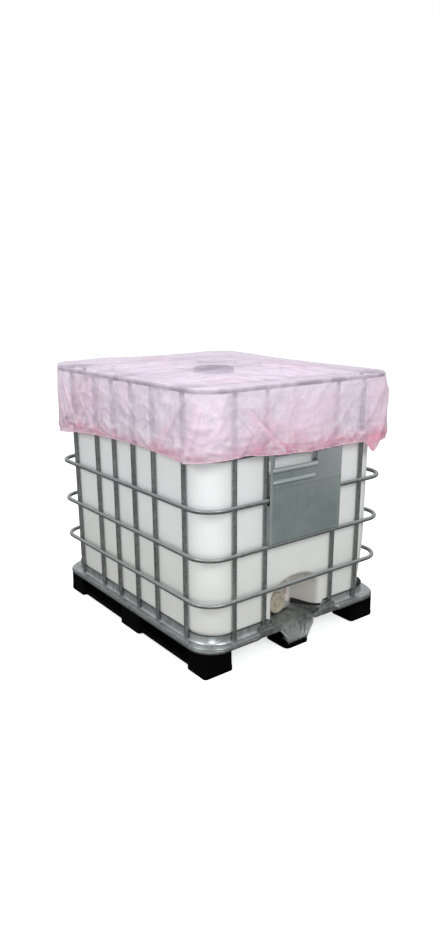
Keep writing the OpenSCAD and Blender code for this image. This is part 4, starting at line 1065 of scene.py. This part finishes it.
def fold(way, share, start, end, width, height):
    """A fold along a line down the skirt: a sharp crest that falls off to both sides, and widens as it
    goes down."""
    across = apart(way, start[0])
    down = (share - start[1]) * SKIRT_DROP
    line = np.array([end[0] - start[0], (end[1] - start[1]) * SKIRT_DROP])
    reach = np.linalg.norm(line)
    line = line / reach
    along = (across * line[0] + down * line[1]) / reach
    aside = across * line[1] - down * line[0]
    crest = np.exp(-np.abs(aside) / (width * (0.6 + 0.6 * np.clip(along, 0, 1))))
    return 1.3 * height * crest * smooth(-0.1, 0.35, along) * (1 - smooth(0.92, 1.2, along))


def skirt_swell(way, share, near_post):
    """How far the skirt stands out: a belly, folds that fan out from the corners, slanted folds, swags that
    hang between uprights, soft and small folds, and the hem's gathers and rolls, all drawn in at the back
    left corner. near_post is 1 at an upright and 0 far from one. Also how dense the film is gathered, from
    0 to 1, and its painted light: a painted milky highlight on its crests, up to 1, and painted mauve shade
                                   in
    its creases and beside its slanted folds, down to -1."""
    turn_u = way / ROUND

    def patches(count, steep, seed):
        """Noise with that many cells round the rim, and steep cells down the skirt."""
        return noise(turn_u * count, steep * share, seed, count)

    def strokes(count, lean, steep, seed):
        """Creases on such cells, which lean along the rim as they go down."""
        return creases(turn_u * count + lean * share, steep * share, seed, count)

    belly = 0.005 * np.sin(np.pi * np.clip(share, 0, 1)) ** 0.8 * (0.6 + 0.8 * patches(22, 3, 31))
    fan = 0 * way * share
    for corner in CORNER_WAYS:
        spread = apart(way, corner) / (0.020 + 0.070 * share)
        ridge = (0.5 + 0.5 * np.cos(2 * np.pi * 0.75 * spread + 2.0 * corner)) ** 2
        fan = fan + 0.009 * ridge * bell(spread, 2.0) * smooth(0.02, 0.35, share)
    slanted = sum(fold(way, share, *line) for line in FOLDS)
    soft = 0.007 * strokes(60, 1.3, 2.2, 41) ** 4 * smooth(0.0, 0.3, share)
    small = 0.0035 * strokes(130, 2, 7, 43) ** 3 * smooth(0.0, 0.2, share)
    swag = wave(3.4 * (share + 0.42 * near_post ** 2) + 1.6 * patches(30, 1.5, 61)) ** 4
    swag = 0.007 * swag * np.sin(np.pi * share) * smooth(0.3, 0.7, patches(26, 2.5, 67))
    low = smooth(0.55, 1.0, share)
    pleat = gathers(way + 0.05 * (1 - share)) * smooth(0.3, 0.8, wander(way, 36, 47))
    roll = wave(5.5 * share + 2.4 * patches(24, 1.5, 71)) ** 2
    roll = roll * smooth(0.62, 0.85, share) * (1 - smooth(0.84, 1.0, share))
    folds = (fan + slanted + swag + soft + small) * (1 - 0.65 * smooth(0.85, 1.0, share))
    swell = belly + folds + 0.006 * low * pleat + 0.006 * roll
    swell = swell * (1 - 0.6 * bell(apart(way, BACK_LEFT), 0.12))

    bunch = low * (0.3 + 0.4 * pleat + 0.5 * roll)
    dense = 0.14 + 0.62 * bunch * smooth(0.6, 0.95, share) + 16 * slanted + 10 * fan + 12 * soft
    dense = dense + 12 * swag + 0.16 * smooth(0.7, 1.0, share)

    # Painted highlights: thin milky strokes, the rolls' crests and the slanted folds.
    steep = strokes(120, 3.0, 1.3, 81) ** 6 + strokes(96, -4.5, 1.6, 83) ** 6
    steep = steep * smooth(0.35, 0.75, patches(44, 5, 85)) * smooth(0.05, 0.25, share)
    level = strokes(40, 2, 9, 91) ** 9 * smooth(0.55, 0.75, share)
    # Painted shade: mauve creases, and a painted shadow beside each slanted fold.
    dark = strokes(76, 3, 3, 87) ** 7 * smooth(0.4, 0.8, patches(34, 4, 89))
    beside = sum(fold(way - 0.016, share, *line) for line in FOLDS) - slanted
    painted_light_and_shade = 0.45 * steep + 0.7 * level + 0.5 * roll ** 3 + 0.35 * np.square(slanted / 0.02)
    painted_light_and_shade = painted_light_and_shade - 0.75 * dark * (0.35 + 0.65 * smooth(0.3, 0.8, share))
    painted_light_and_shade = painted_light_and_shade - 0.55 * np.clip(beside / 0.012, 0, 1)
    return SWELL * np.tanh(swell / SWELL), np.clip(dense, 0, 1), np.clip(painted_light_and_shade, -1, 1)


def film_cover():
    """One sheet of film over the cage's top, in three stretches joined edge to edge. Its top is rings
    that shrink to a line, raised by an S curve from the rim. Then come a quarter turn over the rim
    and the skirt, which stands out from the rim by skirt_swell and has a tail at the front. The hem is a
    bunched tube along its edge. The film is clear at the thin spot and in patches along the rim."""
    path, normal, way = film_edge()
    inward = np.linspace(1, 0, TOP_ROWS) ** 1.3
    plan, _ = ring(HOOP_X * (1 - inward), HOOP_Y - HOOP_X * inward, BEND_R * (1 - inward), FILM_COUNTS)
    billow = 0.004 + 0.007 * smooth(-0.55, 0.1, path[:, 1]) + 0.010 * smooth(0.1, 0.55, path[:, 1])
    edge_z = RIM_Z + FILM_OVER + billow * (0.6 + 0.8 * wander(way, 20, 51))
    distance = HOOP_X * inward[:, None]
    x, y = plan[..., 0], plan[..., 1]
    ripple = 0.005 * (noise(9 * x + 40, 9 * y + 40, 53) - 0.5)
    ripple = ripple + 0.003 * creases(5 * x + 3 * y + 60, 7 * y - 2 * x + 60, 57) ** 4
    ripple = ripple * smooth(0.01, 0.10, distance) * smooth(0.09, 0.20, np.hypot(x, y))
    top_z = edge_z + (FILM_TOP_Z - edge_z) * smooth(0.0, 0.32, distance) + ripple
    top = np.concatenate([plan, top_z[..., None]], -1)

    quarter = np.radians(np.linspace(90, 0, 9)[1:-1])
    over_z = RIM_Z + (edge_z - RIM_Z)[:, None] * np.sin(quarter)
    over = sweep(path, normal, FILM_OFF * np.cos(quarter), over_z)

    share = np.linspace(0, 1, SKIRT_ROWS)[None, :]
    near = np.min([np.linalg.norm(path - post, axis=1) for post in POSTS], axis=0)[:, None]
    # The third value is the skirt's painted highlights and painted shade.
    swell, dense, crest = skirt_swell(way[:, None], share, 1 - smooth(0.018, 0.17, near))
    tail = bell(way[:, None] - TAIL_WAY, TAIL_W) * share ** 5
    across = FILM_OFF + (HEM_OFF - FILM_OFF) * smooth(0.5, 1.0, share) + swell + TAIL_OUT * tail
    hem_z = hem_height(way)[:, None] - TAIL_DROP * tail
    skirt = sweep(path, normal, across, RIM_Z + (hem_z - RIM_Z) * share)

    sheet = np.concatenate([top, over.transpose(1, 0, 2), skirt.transpose(1, 0, 2)])
    gather, touch, painted_light_and_shade = (np.zeros(sheet.shape[:2]) for _ in range(3))
    gather[:TOP_ROWS] = np.clip(60 * ripple, 0, 0.4)
    gather[-SKIRT_ROWS:] = np.clip(dense + tail, 0, 1).T
    thin = bell(np.hypot(x - THIN_X, y - THIN_Y), THIN_W)
    patchy = 0.8 * smooth(0.4, 0.8, wander(way, 90, 93))[:, None]
    touch[:TOP_ROWS] = (1.5 * thin - 0.7) * smooth(0.02, 0.08, distance)
    touch[-SKIRT_ROWS:] = ((0.2 + patchy) * bell(share * SKIRT_DROP, 0.014)).T
    # Painted shade in patches over the rim.
    painted_light_and_shade[TOP_ROWS:-SKIRT_ROWS] = -0.5 * patchy.T
    painted_light_and_shade[-SKIRT_ROWS:] = crest.T
    film = piece("film_sheet", [grid(sheet, closed_v=True)], pink_film, "cover", ["film_cover"], sharp=180.0,
                 attributes={"gather": gather, "touch": touch, "painted_light_and_shade": painted_light_and_shade})

    angle = circle(10)
    radius = 0.0008 + 0.0010 * gathers(way)[:, None]
    hem_across = across[:, -1:] + radius * np.cos(angle)
    hem = sweep(path, normal, hem_across, hem_z[:, -1:] + 1.3 * radius * np.sin(angle))
    band = piece("hem_gathers", [grid(hem, True, True)], hem_band, "cover", ["hem_elastic"], sharp=180.0)


hoops()
uprights()
base_ring()
tray()
recess_sill()
front_leg()
front_plate()
bottle()
skids()
union_nut()
valve_body()
outlet_cap()
handle()
lid()
film_cover()


# Camera and light

CAMERA_PLACE = (-1.867532, -2.476037, 1.417645)
CAMERA_AZIMUTH, CAMERA_ELEVATION, CAMERA_ROLL = (math.radians(a) for a in (37.48804, 16.63390, -0.24439))
# The picture's height, the focal length and the row of the camera's axis, in pixels of the photograph
PICTURE_H, FOCAL_PX, MIDDLE_PX = 952, 693.47, 503.5


def put(made, place, side, up, back):
    """Puts an object into the scene at a place, with its axes along these."""
    made.matrix_world = Matrix.Translation(place) @ Matrix(np.stack([side, up, back], 1)).to_4x4()
    bpy.context.scene.collection.objects.link(made)


def camera():
    """The photograph's camera, from a fit to the cage's hoops, uprights and rim."""
    azimuth, elevation = CAMERA_AZIMUTH, CAMERA_ELEVATION
    ahead = np.array([math.sin(azimuth) * math.cos(elevation), math.cos(azimuth) * math.cos(elevation),
                      -math.sin(elevation)])
    right = np.array([math.cos(azimuth), -math.sin(azimuth), 0.0])
    up = np.cross(right, ahead)
    across = right * math.cos(CAMERA_ROLL) + up * math.sin(CAMERA_ROLL)
    upward = up * math.cos(CAMERA_ROLL) - right * math.sin(CAMERA_ROLL)
    lens = bpy.data.cameras.new("camera")
    lens.sensor_width = 36.0
    lens.lens = FOCAL_PX * lens.sensor_width / PICTURE_H
    lens.shift_y = (MIDDLE_PX - PICTURE_H / 2) / PICTURE_H
    made = bpy.data.objects.new("camera", lens)
    put(made, CAMERA_PLACE, across, upward, -ahead)
    bpy.context.scene.camera = made


def area_light(name, place, target, size, power):
    """A soft square light that looks at a point."""
    light = bpy.data.lights.new(name, "AREA")
    light.size = size
    light.energy = power
    made = bpy.data.objects.new(name, light)
    back = np.array(place, float) - np.array(target, float)
    back /= np.linalg.norm(back)
    side = np.cross((0, 0, 1), back)
    side /= np.linalg.norm(side)
    put(made, place, side, np.cross(back, side), back)


def ray_kinds(start):
    """Two sockets: 1 for what the camera sees itself, and 1 for what shows in a reflection."""
    return [start.node("ShaderNodeLightPath", {}, kind) for kind in ("Is Camera Ray", "Is Glossy Ray")]


def surroundings():
    """A white room: the world is white to the camera, grey in reflections, and dimmer as a light."""
    world = bpy.data.worlds.new("room")
    bpy.context.scene.world = world
    world.use_nodes = True
    world.node_tree.nodes.clear()
    start = Socket(world.node_tree)
    seen, mirrored = ray_kinds(start)
    light = start.node("ShaderNodeBackground", {"Color": rgb(0.95, 0.98, 1.0), "Strength": 0.56})
    grey = start.node("ShaderNodeBackground", {"Color": rgb(1, 1, 1), "Strength": 0.62})
    white = start.node("ShaderNodeBackground", {"Color": rgb(1, 1, 1), "Strength": 1.0})
    cast = start.node("ShaderNodeMixShader", {0: mirrored, 1: light, 2: grey})
    both = start.node("ShaderNodeMixShader", {0: seen, 1: cast, 2: white})
    start.node("ShaderNodeOutputWorld", {"Surface": both})


def ground():
    """A plain pale floor, which throws back less light than it shows to the camera, and is dark in
    reflections."""
    reach = 30.0
    mesh = bpy.data.meshes.new("ground")
    corners = [(-reach, -reach, 0), (reach, -reach, 0), (reach, reach, 0), (-reach, reach, 0)]
    mesh.from_pydata(corners, [], [(0, 1, 2, 3)])
    made, place = material("ground")
    seen, mirrored = ray_kinds(place)
    pale = place.node("ShaderNodeBsdfDiffuse", {"Color": rgb(0.90, 0.90, 0.90)})
    soft = place.node("ShaderNodeBsdfDiffuse", {"Color": rgb(0.28, 0.272, 0.257)})
    dim = place.node("ShaderNodeEmission", {"Color": rgb(0.13, 0.133, 0.13)})
    glow = place.node("ShaderNodeEmission", {"Color": rgb(0.62, 0.62, 0.62)})
    lit = place.node("ShaderNodeAddShader", {0: pale, 1: glow})
    cast = place.node("ShaderNodeMixShader", {0: mirrored, 1: soft, 2: dim})
    both = place.node("ShaderNodeMixShader", {0: seen, 1: cast, 2: lit})
    place.node("ShaderNodeOutputMaterial", {"Surface": both})
    mesh.materials.append(made)
    floor = bpy.data.objects.new("ground", mesh)
    bpy.context.scene.collection.objects.link(floor)


camera()
surroundings()
ground()
area_light("key", (-0.6, -5.0, 3.6), (0, 0, 0.6), 2.2, 120.0)
area_light("fill", (-5.0, -0.5, 3.2), (0, 0, 0.6), 2.2, 92.0)
area_light("above", (0.2, 0.4, 4.2), (0, 0, 0.6), 2.6, 50.0)
area_light("strip", (-3.3, -3.9, 0.75), (0, 0, 0.4), 1.2, 30.0)
bpy.context.scene.view_settings.view_transform = "Standard"


# Looks of the CAD nodes that stay

KEPT = {
    screw_zinc: ("skid_screws", "weld_nuts", "leg_screws", "bar_screws", "plate_rivets", "handle_screw"),
    bar_zinc: ("front_cross_bar", "back_cross_bar"),
    seal_rubber: ("lid_gasket", "valve_gasket", "cap_gasket", "stem_seal"),
    valve_plastic: ("valve_stem", "valve_disc"),
}
for finish, names in KEPT.items():
    for name in names:
        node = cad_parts[name]
        node.data.materials.clear()
        node.data.materials.append(finish)

bpy.context.view_layer.update()
bpy.context.view_layer.update()
